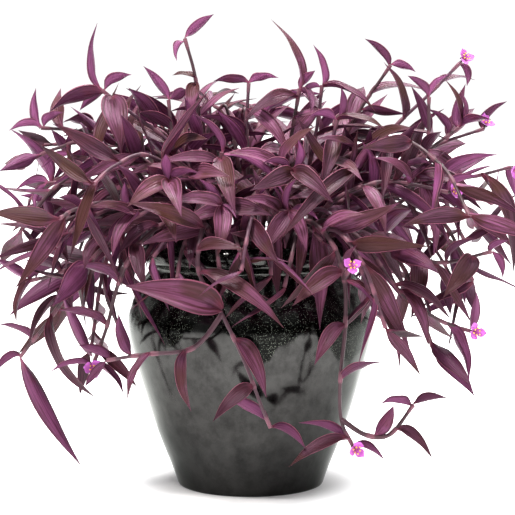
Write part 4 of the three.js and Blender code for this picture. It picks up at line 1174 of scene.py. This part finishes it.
def stem_net(line, radius):
    corners, faces, sides = [], [], TUBE_SIDES
    for k, point in enumerate(line):
        way = way_at(line, k)
        side = way.orthogonal().normalized() if k == 0 else (side - way * side.dot(way)).normalized()
        corners += ring_round(point, side, way.cross(side), radius, sides)
    for k in range(len(line) - 1):
        for s in range(sides):
            a, b = k * sides + s, k * sides + (s + 1) % sides
            faces.append((a, b, b + sides, a + sides))
    return corners, faces


def search_tree(nets):
    corners, faces = [], []
    for some_corners, some_faces in nets:
        first = len(corners)
        corners += some_corners
        faces += [[first + c for c in face] for face in some_faces]
    return BVHTree.FromPolygons(corners, faces)


def mesh_net(piece):
    return [v.co.copy() for v in piece.data.vertices], [list(p.vertices) for p in piece.data.polygons]


def in_box(corners):
    return all(low - BOX_SLACK <= c <= high + BOX_SLACK
               for place in corners for c, low, high in zip(place, BOX_LOW, BOX_HIGH))


def under_dome(corners):
    """Whether a net stays under a low uneven dome, so that mostly the frame's own stems stand out on top."""
    return all(place.z < DOME_TOP + DOME_TILT * place.x - DOME_FALL * place.xy.length_squared
               + DOME_SWELL * noise.noise(place * DOME_GRAIN) for place in corners)


class Crowd:
    """The nets that a new net must not cross. The newest ones are merged now and then."""

    def __init__(self, nets):
        self.trees, self.recent, self.fresh = [search_tree(nets)], [], []

    def remember(self, net):
        self.recent.append(net)
        self.fresh.append(search_tree([net]))
        if len(self.recent) == MERGE_AFTER:
            self.trees.append(search_tree(self.recent))
            self.recent, self.fresh = [], []

    def has_room_for(self, net, wall):
        if not (in_box(net[0]) and under_dome(net[0])):
            return False
        tree = search_tree([net])
        return not any(tree.overlap(other) for other in [wall, *self.trees, *self.fresh])

# %% A leaf whose net crosses nothing
LEAF_STEPS = 4
LENGTH_VARIES, SLIMNESS = (0.85, 1.15), (0.1, 0.13)  # of the length asked for, and half width to length
FREE_FOLD, FREE_ROLL = (14, 40), (-40, 40)  # degrees
FREE_DROOP = (-0.3, 0.8)  # from a little upward to well down
SHRINK = 0.35  # how much smaller the last try is
BARE_FOOT = 0.16  # the share of a leaf next to its stem that isn't tried


def bent_line(base, way, length, droop):
    """A leaf's line: it leaves in one direction and its weight bends it down."""
    line, heading = [base], way.normalized()
    for _ in range(LEAF_STEPS):
        line.append(line[-1] + heading * (length / LEAF_STEPS))
        heading = (heading - UP * (droop / LEAF_STEPS)).normalized()
    return line


def try_leaf(base, stem_way, size, chance, tries, spreads):
    """A free leaf of about `size` mm at a point of a stem, or None. Each try turns and shrinks it."""
    length = size * chance.uniform(*LENGTH_VARIES) * MM
    half_width = length * chance.uniform(*SLIMNESS)
    around = stem_way.orthogonal().normalized()
    other = stem_way.cross(around)
    fold = math.radians(chance.uniform(*FREE_FOLD))
    for attempt in range(tries):
        turn, spread = chance.uniform(0, math.tau), math.radians(chance.uniform(*spreads))
        way = way_round(stem_way, way_round(around, other, turn), spread)
        share = 1 - SHRINK * attempt / tries
        line = bent_line(base, way, length * share, chance.uniform(*FREE_DROOP))
        roll = math.radians(chance.uniform(*FREE_ROLL))
        uppers, upper = [], way_round(stem_way, way.cross(stem_way), roll)
        for k in range(len(line)):
            heading = way_at(line, k)
            upper = (upper - heading * upper.dot(heading)).normalized()
            uppers.append(upper)
        net = leaf_net(line, uppers, half_width * share, fold, BARE_FOOT)
        if crowd.has_room_for(net, solid_walls):
            crowd.remember(net)
            return Leaf(line, uppers, half_width * share, fold)
    return None

# %% The nets of everything in the frame
FRAME_STEM_RADIUS = 3.4 * MM
frame_nets = [leaf_net(leaf.line, leaf.uppers, leaf.half_width, leaf.fold)
              for name in stem_names for leaf in leaves[name]]
frame_nets += [stem_net(line, FRAME_STEM_RADIUS) for lines in stems.values() for line in lines]
solid_walls = search_tree([mesh_net(pot), mesh_net(soil)])
pot_wall = search_tree([mesh_net(pot)])
crowd = Crowd(frame_nets)
print(len(frame_nets), "nets stand for the leaves and stems of the frame")

# %% [markdown]
# ## Leaves on bare stretches
# Where one of the frame's stems runs bare for longer than a purple heart would let it, leaves are added at
# even steps.

# %% Fill the bare stretches
BARE_STRETCH, LEAVES_PER_STRETCH = 52 * MM, 1.5
TIP_SHARE = 0.8  # a stem's own leaves close its tip
LOWEST_FILL = 245 * MM  # the ends that hang below the rim keep their own leaves
LOWEST_LEAF = 284 * MM  # a main stem's first stretch starts at this height
SIDE_START = 2  # and a side stem's at this point
FILL_SIZE, FILL_SPREAD, FILL_TRIES = (122, 72), (28, 72), 34  # mm from root to tip, degrees from the stem
fill_chance = random.Random(11)
leaves_before = sum(len(group) for group in leaves.values())


def arc_places(line):
    """How far along a line each of its points is."""
    places = [0.0]
    for a, b in zip(line, line[1:]):
        places.append(places[-1] + (b - a).length)
    return places


for name in stem_names:
    for which, line in enumerate(stems[name]):
        places = arc_places(line)
        roots = [nearest(stems[name], leaf.line[0]) for leaf in leaves[name]]
        joints = sorted(k for i, k in roots if i == which)
        start = SIDE_START if which else next((k for k, p in enumerate(line) if p.z > LOWEST_LEAF), 0)
        marks, wanted = [start, *joints, len(line) - 1], []
        for a, b in zip(marks, marks[1:]):
            parts = int((places[b] - places[a]) / BARE_STRETCH * LEAVES_PER_STRETCH) if b > a else 0
            wanted += [round(mix(a, b, (n + 1) / (parts + 1))) for n in range(parts)]
        for k in wanted:
            if line[k].z < LOWEST_FILL or k > TIP_SHARE * len(line):
                continue
            size = mix(*FILL_SIZE, places[k] / places[-1])
            made = try_leaf(line[k], way_at(line, k), size, fill_chance, FILL_TRIES, FILL_SPREAD)
            if made:
                leaves[name].append(made)
print(sum(len(group) for group in leaves.values()) - leaves_before, "leaves added to the frame's stems")

# %% [markdown]
# ## Dressing the stems
# Every solid of the frame that is a leafy stem gets one piece: its stems with a sheath below each leaf, and
# its leaves. The leaves differ a little in fold, colour and wave, by seeded chance, as real ones do.

# %% Lines for one leafy stem
STEM_RADIUS = 2.9 * MM
STEM_TIP_SHARE = 0.62  # radius at a stem's tip, as a share of its radius at the soil
SHEATH_LENGTH, SHEATH_OVERLAP = 9 * MM, 2 * MM  # below and above the leaf
SHEATH_LEAST, SHEATH_SWELL = 0.55, 0.45  # shares of the full sheath: at its lower end, and what it gains
SHEATH_BULGE = 0.55 * MM
LEAF_CLOSED, BRACT_CLOSED = math.radians(32), math.radians(50)  # the most that they fold
SHORT_FOOT = 0.1  # of a leaf's length
FOLD_VARIES, RIM_CURLS, BRACT_SHOWS = (0.85, 1.5), (-0.16, 0.1), (0.5, 1)
WAVES, PHASES = (5, 12), (0, 6.28)  # radians along a leaf, and where they start
FIELDS = ("is_stem", "radius", "sheath", "tint", "half_width", "fold", "rim_curl", "waves", "phase", "bract")
PLANT_SEED = 7
dice = random.Random(PLANT_SEED)


class Lines:
    """Polylines with a value of every field at every point."""

    def __init__(self):
        self.corners, self.edges, self.uppers = [], [], []
        self.values = {name: [] for name in FIELDS}

    def add(self, line, uppers=None, **values):
        first = len(self.corners)
        self.corners += line
        self.edges += [(first + k, first + k + 1) for k in range(len(line) - 1)]
        self.uppers += uppers or [UP] * len(line)
        for name in FIELDS:
            value = values.get(name, 0.0)
            self.values[name] += value if isinstance(value, list) else [value] * len(line)

    def piece(self, name):
        mesh = bpy.data.meshes.new(name)
        mesh.from_pydata([tuple(c) for c in self.corners], self.edges, [])
        for field, numbers in self.values.items():
            mesh.attributes.new(field, "FLOAT", "POINT").data.foreach_set("value", numbers)
        flat = [c for upper in self.uppers for c in upper]
        mesh.attributes.new("upper", "FLOAT_VECTOR", "POINT").data.foreach_set("vector", flat)
        return link_object(name, mesh)


def leaf_line(leaf, stem_point):
    """The leaf's line from the middle of its stem, without a foot that is too close to bend smoothly."""
    line, uppers = leaf.line[1:], leaf.uppers[1:]
    while len(line) > 2 and (line[0] - stem_point).length < SHORT_FOOT * leaf.length:
        line, uppers = line[1:], uppers[1:]
    return [stem_point, *line], [uppers[0], *uppers]


def stem_values(line, joints):
    """Radius and sheath at every point of a stem, where leaves clasp it at the points in `joints`."""
    places = arc_places(line)
    radii, sheath = [], []
    for place in places:
        radius = STEM_RADIUS * mix(1, STEM_TIP_SHARE, place / places[-1])
        cover = 0.0
        for joint in joints:
            before = places[joint] - place
            if -SHEATH_OVERLAP < before < SHEATH_LENGTH:
                cover = max(cover, SHEATH_LEAST + SHEATH_SWELL * (1 - before / SHEATH_LENGTH))
        radii.append(radius + SHEATH_BULGE * cover)
        sheath.append(cover)
    return radii, sheath


def dress(name, some_leaves, routes):
    """The leaves and stems of one shoot as a fine piece."""
    lines = Lines()
    joints = [[] for _ in routes]
    for leaf in some_leaves:
        which, where = nearest(routes, leaf.line[0])
        joints[which].append(where)
        line, uppers = leaf_line(leaf, routes[which][where])
        fold = min(leaf.fold * dice.uniform(*FOLD_VARIES), BRACT_CLOSED if leaf.bract else LEAF_CLOSED)
        lines.add(line, uppers, half_width=leaf.half_width * BREADTH, fold=fold,
                  tint=dice.random(), bract=float(leaf.bract) * dice.uniform(*BRACT_SHOWS),
                  rim_curl=dice.uniform(*RIM_CURLS), waves=dice.uniform(*WAVES), phase=dice.uniform(*PHASES))
    for route, marks in zip(routes, joints):
        radii, sheath = stem_values(route, marks)
        lines.add(route, is_stem=1.0, radius=radii, sheath=sheath, tint=dice.random())
    piece = grow(lines.piece(name + "_lines"), grow_leafy_stem, {"Leaf": leaf_skin, "Stem": stem_skin}, name)
    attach(piece, "root")
    return piece

# %% Dress all stems of the frame
dressed = {}
for name in stem_names:
    dressed[name] = dress(name + "_fine", leaves[name], stems[name])
    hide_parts(name)
print(len(dressed), "leafy stems,", sum(len(p.data.polygons) for p in dressed.values()), "faces")

# %% [markdown]
# ## The flowers
# A purple heart flower has three broad petals, six stamens with bright yellow anthers on bearded threads,
# and three small sepals. It opens for one day between two folded bracts at a stem's tip. Each petal is a
# thin closed body with a crinkled margin, curved up from the heart.

# %% A body made of several surfaces
BALL_LEVELS = [math.radians(a) for a in (-80, -50, -18, 18, 50, 80)]


class Body:
    """Corners, faces and finishes of a piece that is put together from tubes, balls and petals."""

    def __init__(self, finishes):
        self.finishes = finishes
        self.corners, self.faces, self.paint, self.along, self.across = [], [], [], [], []

    def grid(self, rows, finish, along, across=None):
        """Faces between closed rows of corners, with a cap on the first and the last."""
        first, count = len(self.corners), len(rows[0])
        for r, row in enumerate(rows):
            self.corners += row
            self.along += along[r]
            self.across += across[r] if across else [0.0] * count
        for r in range(len(rows) - 1):
            for c in range(count):
                a, b = first + r * count + c, first + r * count + (c + 1) % count
                self.faces.append([a, b, b + count, a + count])
        self.faces.append(list(range(first, first + count))[::-1])
        self.faces.append(list(range(len(self.corners) - count, len(self.corners))))
        self.paint += [finish] * (len(self.faces) - len(self.paint))

    def tube(self, line, radii, finish, sides=8, along=1.0):
        ways = [way_at(line, k) for k in range(len(line))]
        side = ways[0].orthogonal().normalized()
        rows = []
        for point, radius, way in zip(line, radii, ways):
            side = (side - way * side.dot(way)).normalized()
            rows.append(ring_round(point, side, way.cross(side), radius, sides))
        self.grid(rows, finish, [[along] * sides] * len(rows))

    def ball(self, centre, axis, radius, finish, stretch, sides, along=1.0):
        line = [centre + axis * (radius * stretch * math.sin(t)) for t in BALL_LEVELS]
        self.tube(line, [radius * math.cos(t) for t in BALL_LEVELS], finish, sides, along)

    def piece(self, name):
        piece = mesh_from(name, self.corners, self.faces)
        for finish in self.finishes:
            piece.data.materials.append(finish)
        piece.data.polygons.foreach_set("material_index", self.paint)
        for label, numbers in (("along", self.along), ("across", self.across)):
            piece.data.attributes.new(label, "FLOAT", "POINT").data.foreach_set("value", numbers)
        return piece

# %% One flower
FLOWERS = [  # the stem and side stem that each flower ends, and the way it faces
    ("leafy_stem_08", 0, (0.45, -0.7, 0.5)),
    ("leafy_stem_11", 0, (0.2, -0.6, 0.8)),
    ("leafy_stem_12", 0, (0.5, -0.7, -0.3)),
    ("leafy_stem_13", 0, (0.6, -0.7, 0.2)),
    ("leafy_stem_15", 0, (0.4, -0.9, 0.1)),
    ("leafy_stem_16", 0, (0.3, -0.95, -0.1)),
    ("leafy_stem_16", 1, (0.2, -0.9, 0.4)),
    ("leafy_stem_18", 0, (0.2, -0.95, 0.1)),
]
FLOWER_FINISHES = (petal_skin, stem_skin, leaf_skin, pollen)
PETAL, STALK, SEPAL, ANTHER = range(len(FLOWER_FINISHES))
STALK_LENGTH, STALK_RADII = 7 * MM, [1.7 * MM, 1.6 * MM, 1.3 * MM, 1.7 * MM]
PETALS, PETAL_STRAYS = 3, (-0.14, 0.14)  # radians from its even place
PETAL_RISES, PETAL_CRINKLES = (3.5, 8.5), (0.5, 1.1)  # mm
PETAL_LONG, PETAL_BROAD = (0.88, 1), (0.8, 1.05)  # shares of the full size
PETAL_LENGTH, PETAL_HALF_WIDTH, PETAL_THICKNESS = 11.2 * MM, 6.0 * MM, 0.4 * MM
PETAL_SHAPE = [0.2, 0.44, 0.7, 0.88, 0.98, 1.0, 0.94, 0.78, 0.5, 0.14]
PETAL_ACROSS = 11
SEPAL_SIZE = (6.5 * MM, 2.3 * MM, 0.5 * MM)  # length, half width, thickness
SEPAL_SHAPE = [0.5, 0.9, 1.0, 0.8, 0.45, 0.1]
SEPAL_RISE, SEPAL_BACK = 1 * MM, 0.9 * MM
STAMENS, THREAD_RADII = 6, [0.42 * MM, 0.36 * MM, 0.22 * MM]


def add_petal(body, heart, axis, outward, size, shape, rise, crinkle, finish):
    """A thin closed petal that starts at the heart and curves outward and up."""
    length, half_width, thickness = size
    side = axis.cross(outward)
    rows, along, across = [], [], []
    half_turn = [math.pi * k / (PETAL_ACROSS - 1) for k in range(PETAL_ACROSS)]
    ring = [(-math.cos(t), 1) for t in half_turn] + [(math.cos(t), -1) for t in half_turn[1:-1]]
    for r, share in enumerate(shape):
        far = (r + 0.15) / (len(shape) - 0.85)
        row = []
        for u, face in ring:
            rim = abs(u) ** 2
            ripple = crinkle * math.sin(9 * far + 4 * u) * (0.3 + 0.7 * max(rim, far ** 3))
            height = rise * far ** 1.6 + 0.22 * half_width * share * rim + ripple
            height += face * thickness / 2 * (1 - rim) ** 0.5
            reach = length * far * (1 - 0.06 * rim)
            row.append(heart + outward * reach + side * (u * half_width * share) + axis * height)
        rows.append(row)
        along.append([far] * len(ring))
        across.append([u for u, _ in ring])
    body.grid(rows, finish, along, across)


def add_flower(name, stem_end, stem_way, axis, turn):
    """A flower with its stalk, in one piece."""
    body = Body(FLOWER_FINISHES)
    heart = stem_end + axis * STALK_LENGTH
    inside = stem_end - stem_way * 2 * MM
    body.tube([inside, stem_end, stem_end.lerp(heart, 0.5), heart - axis * 0.8 * MM], STALK_RADII, STALK)
    first = axis.orthogonal().normalized()
    second = axis.cross(first)
    for k in range(PETALS):
        petal_size = (PETAL_LENGTH * dice.uniform(*PETAL_LONG), PETAL_HALF_WIDTH * dice.uniform(*PETAL_BROAD),
                      PETAL_THICKNESS)
        petal_rise, petal_crinkle = dice.uniform(*PETAL_RISES) * MM, dice.uniform(*PETAL_CRINKLES) * MM
        for finish, offset, back, size, shape, rise, crinkle in (
            (SEPAL, math.pi / PETALS, SEPAL_BACK, SEPAL_SIZE, SEPAL_SHAPE, SEPAL_RISE, 0),
            (PETAL, 0, 0, petal_size, PETAL_SHAPE, petal_rise, petal_crinkle),
        ):
            angle = turn + math.tau * k / PETALS + offset + dice.uniform(*PETAL_STRAYS)
            outward = way_round(first, second, angle)
            add_petal(body, heart - axis * back, axis, outward, size, shape, rise, crinkle, finish)
    for k in range(STAMENS):
        outward = way_round(first, second, turn + math.tau * (k + 0.5) / STAMENS)
        reach = (3.4 + 0.8 * (k % 2)) * MM
        bend = heart + axis * 2.2 * MM + outward * reach * 0.45
        line = [heart, bend, heart + axis * 4.6 * MM + outward * reach]
        body.tube(line, THREAD_RADII, PETAL, 5, 0.12)
        body.ball(line[-1] + axis * 0.3 * MM, axis, 0.95 * MM, ANTHER, 0.8, 7)
    body.ball(heart + axis * 0.6 * MM, axis, 1.7 * MM, PETAL, 0.9, 9, 0.0)
    return body.piece(name)

# %% Open the flowers
for number, (name, which, facing) in enumerate(FLOWERS, 1):
    line = stems[name][which]
    way = way_at(line, len(line) - 1)
    flower = add_flower(f"flower_{number}_fine", line[-1] + way * 0.3 * MM, way,
                        Vector(facing).normalized(), dice.uniform(0, 2))
    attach(flower, "root")
    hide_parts(f"flower_{number}")
print(len(FLOWERS), "flowers")

# %% [markdown]
# ## More shoots between the stems
# These are young stems that stay inside the crown: some arch out to the sides, some hang over the rim, and
# some fill the middle. Each is tried at seeded places until its net passes between the others, and a shoot
# that finds no room, or room for fewer than two leaves, is left out.

# %% Rules for the shoots of each part of the crown
# How many shoots, then the range of each measure: bearing (degrees), root radius, top height, reach and drop
# (mm). Leaf length goes from root to tip (mm), and spread is the angle between a leaf and its stem (degrees).
Rule = namedtuple("Rule", "part count bearing root top reach drop leaf spread")
SHOOT_RULES = [
    Rule("left_edge", 12, (172, 190), (50, 92), (350, 395), (236, 268), (0, 50), (108, 64), (20, 120)),
    Rule("right_edge", 10, (-14, 10), (50, 92), (350, 420), (248, 284), (0, 90), (112, 70), (20, 120)),
    Rule("crown", 4, (30, 150), (8, 70), (425, 458), (30, 90), (-8, 10), (104, 74), (30, 90)),
    Rule("left_rim", 18, (160, 216), (25, 92), (310, 400), (222, 276), (0, 150), (122, 80), (30, 110)),
    Rule("right_rim", 20, (-40, 14), (25, 92), (320, 405), (232, 290), (0, 110), (122, 76), (30, 110)),
    Rule("left_low", 6, (182, 226), (60, 96), (298, 325), (195, 262), (90, 160), (122, 84), (28, 80)),
    Rule("right_low", 2, (-50, 6), (60, 96), (298, 325), (180, 240), (110, 170), (112, 80), (28, 80)),
    Rule("left", 10, (146, 232), (35, 96), (300, 410), (165, 275), (0, 110), (136, 90), (28, 75)),
    Rule("right", 9, (-58, 34), (35, 96), (300, 390), (165, 275), (10, 120), (128, 80), (28, 75)),
    Rule("front", 10, (226, 314), (55, 96), (298, 326), (136, 172), (10, 70), (112, 70), (28, 75)),
    Rule("middle", 7, (180, 360), (15, 90), (300, 370), (50, 130), (-20, 25), (110, 68), (28, 75)),
    Rule("back", 10, (28, 156), (30, 96), (300, 390), (130, 250), (0, 130), (118, 76), (28, 75)),
]
SHOOT_TWIST = (-14, 14)  # degrees, from root to tip
LEAST_REACH = 20  # mm from the root
JOINT_SPACING, SPACING_VARIES = 38 * MM, (0.8, 1.2)
FIRST_JOINT = 0.3  # of the shoot's length, above the mix and the rim
SHOOT_TRIES, LEAF_TRIES, LEAST_LEAVES = 200, 44, 2
SHOOT_RADIUS = 3.0 * MM
MIX_TOP = 266 * MM


def shoot_line(rule, chance):
    """One try at a shoot's line, by the rule of its part of the crown."""
    bearing, twist = chance.uniform(*rule.bearing), chance.uniform(*SHOOT_TWIST)
    root, top = chance.uniform(*rule.root), chance.uniform(*rule.top)
    reach, drop = max(chance.uniform(*rule.reach), root + LEAST_REACH), chance.uniform(*rule.drop)

    def towards(share, height, turn):
        angle = math.radians(bearing + twist * turn)
        radius = mix(root, reach, share)
        return radius * math.cos(angle), radius * math.sin(angle), height

    return fine_line([
        towards(0, ROOT_HEIGHT, 0),
        towards(0.2, mix(SOIL_TOP, top, 0.62), 0.1),
        towards(0.55, top, 0.4),
        towards(0.82, top - 0.35 * drop, 0.8),
        towards(1, top - drop, 1.2),
    ])


def free_shoot(rule, chance):
    """A shoot's line whose net passes between all others, with its leaves, or None."""
    for _ in range(SHOOT_TRIES):
        line = shoot_line(rule, chance)
        leaves_mix = next(k for k, p in enumerate(line) if p.z > MIX_TOP)
        net = stem_net(line[leaves_mix:-1:2] + [line[-1]], SHOOT_RADIUS)
        if crowd.has_room_for(net, pot_wall):
            break
    else:
        return None
    found, joint, last = [], round(FIRST_JOINT * len(line)), len(line) - 1
    while True:
        size = mix(*rule.leaf, joint / len(line))
        leaf = try_leaf(line[joint], way_at(line, joint), size, chance, LEAF_TRIES, rule.spread)
        if leaf:
            found.append(leaf)
        if joint == last:
            break
        joint = min(joint + round(JOINT_SPACING * chance.uniform(*SPACING_VARIES) / STEM_STEP), last)
    if len(found) < LEAST_LEAVES:
        return None
    crowd.remember(net)
    return line, found

# %% Grow the shoots
SHOOT_SEED = 23
shoot_chance = random.Random(SHOOT_SEED)
shoots, shoot_leaves = [], 0
for rule in SHOOT_RULES:
    grown_before = len(shoots)
    for number in range(1, rule.count + 1):
        free = free_shoot(rule, shoot_chance)
        if free:
            line, found = free
            shoots.append(dress(f"shoot_{rule.part}_{number:02d}", found, [line]))
            shoot_leaves += len(found)
    print(rule.part, "shoots grown:", len(shoots) - grown_before, "of", rule.count)
print(len(shoots), "more shoots with", shoot_leaves, "leaves")
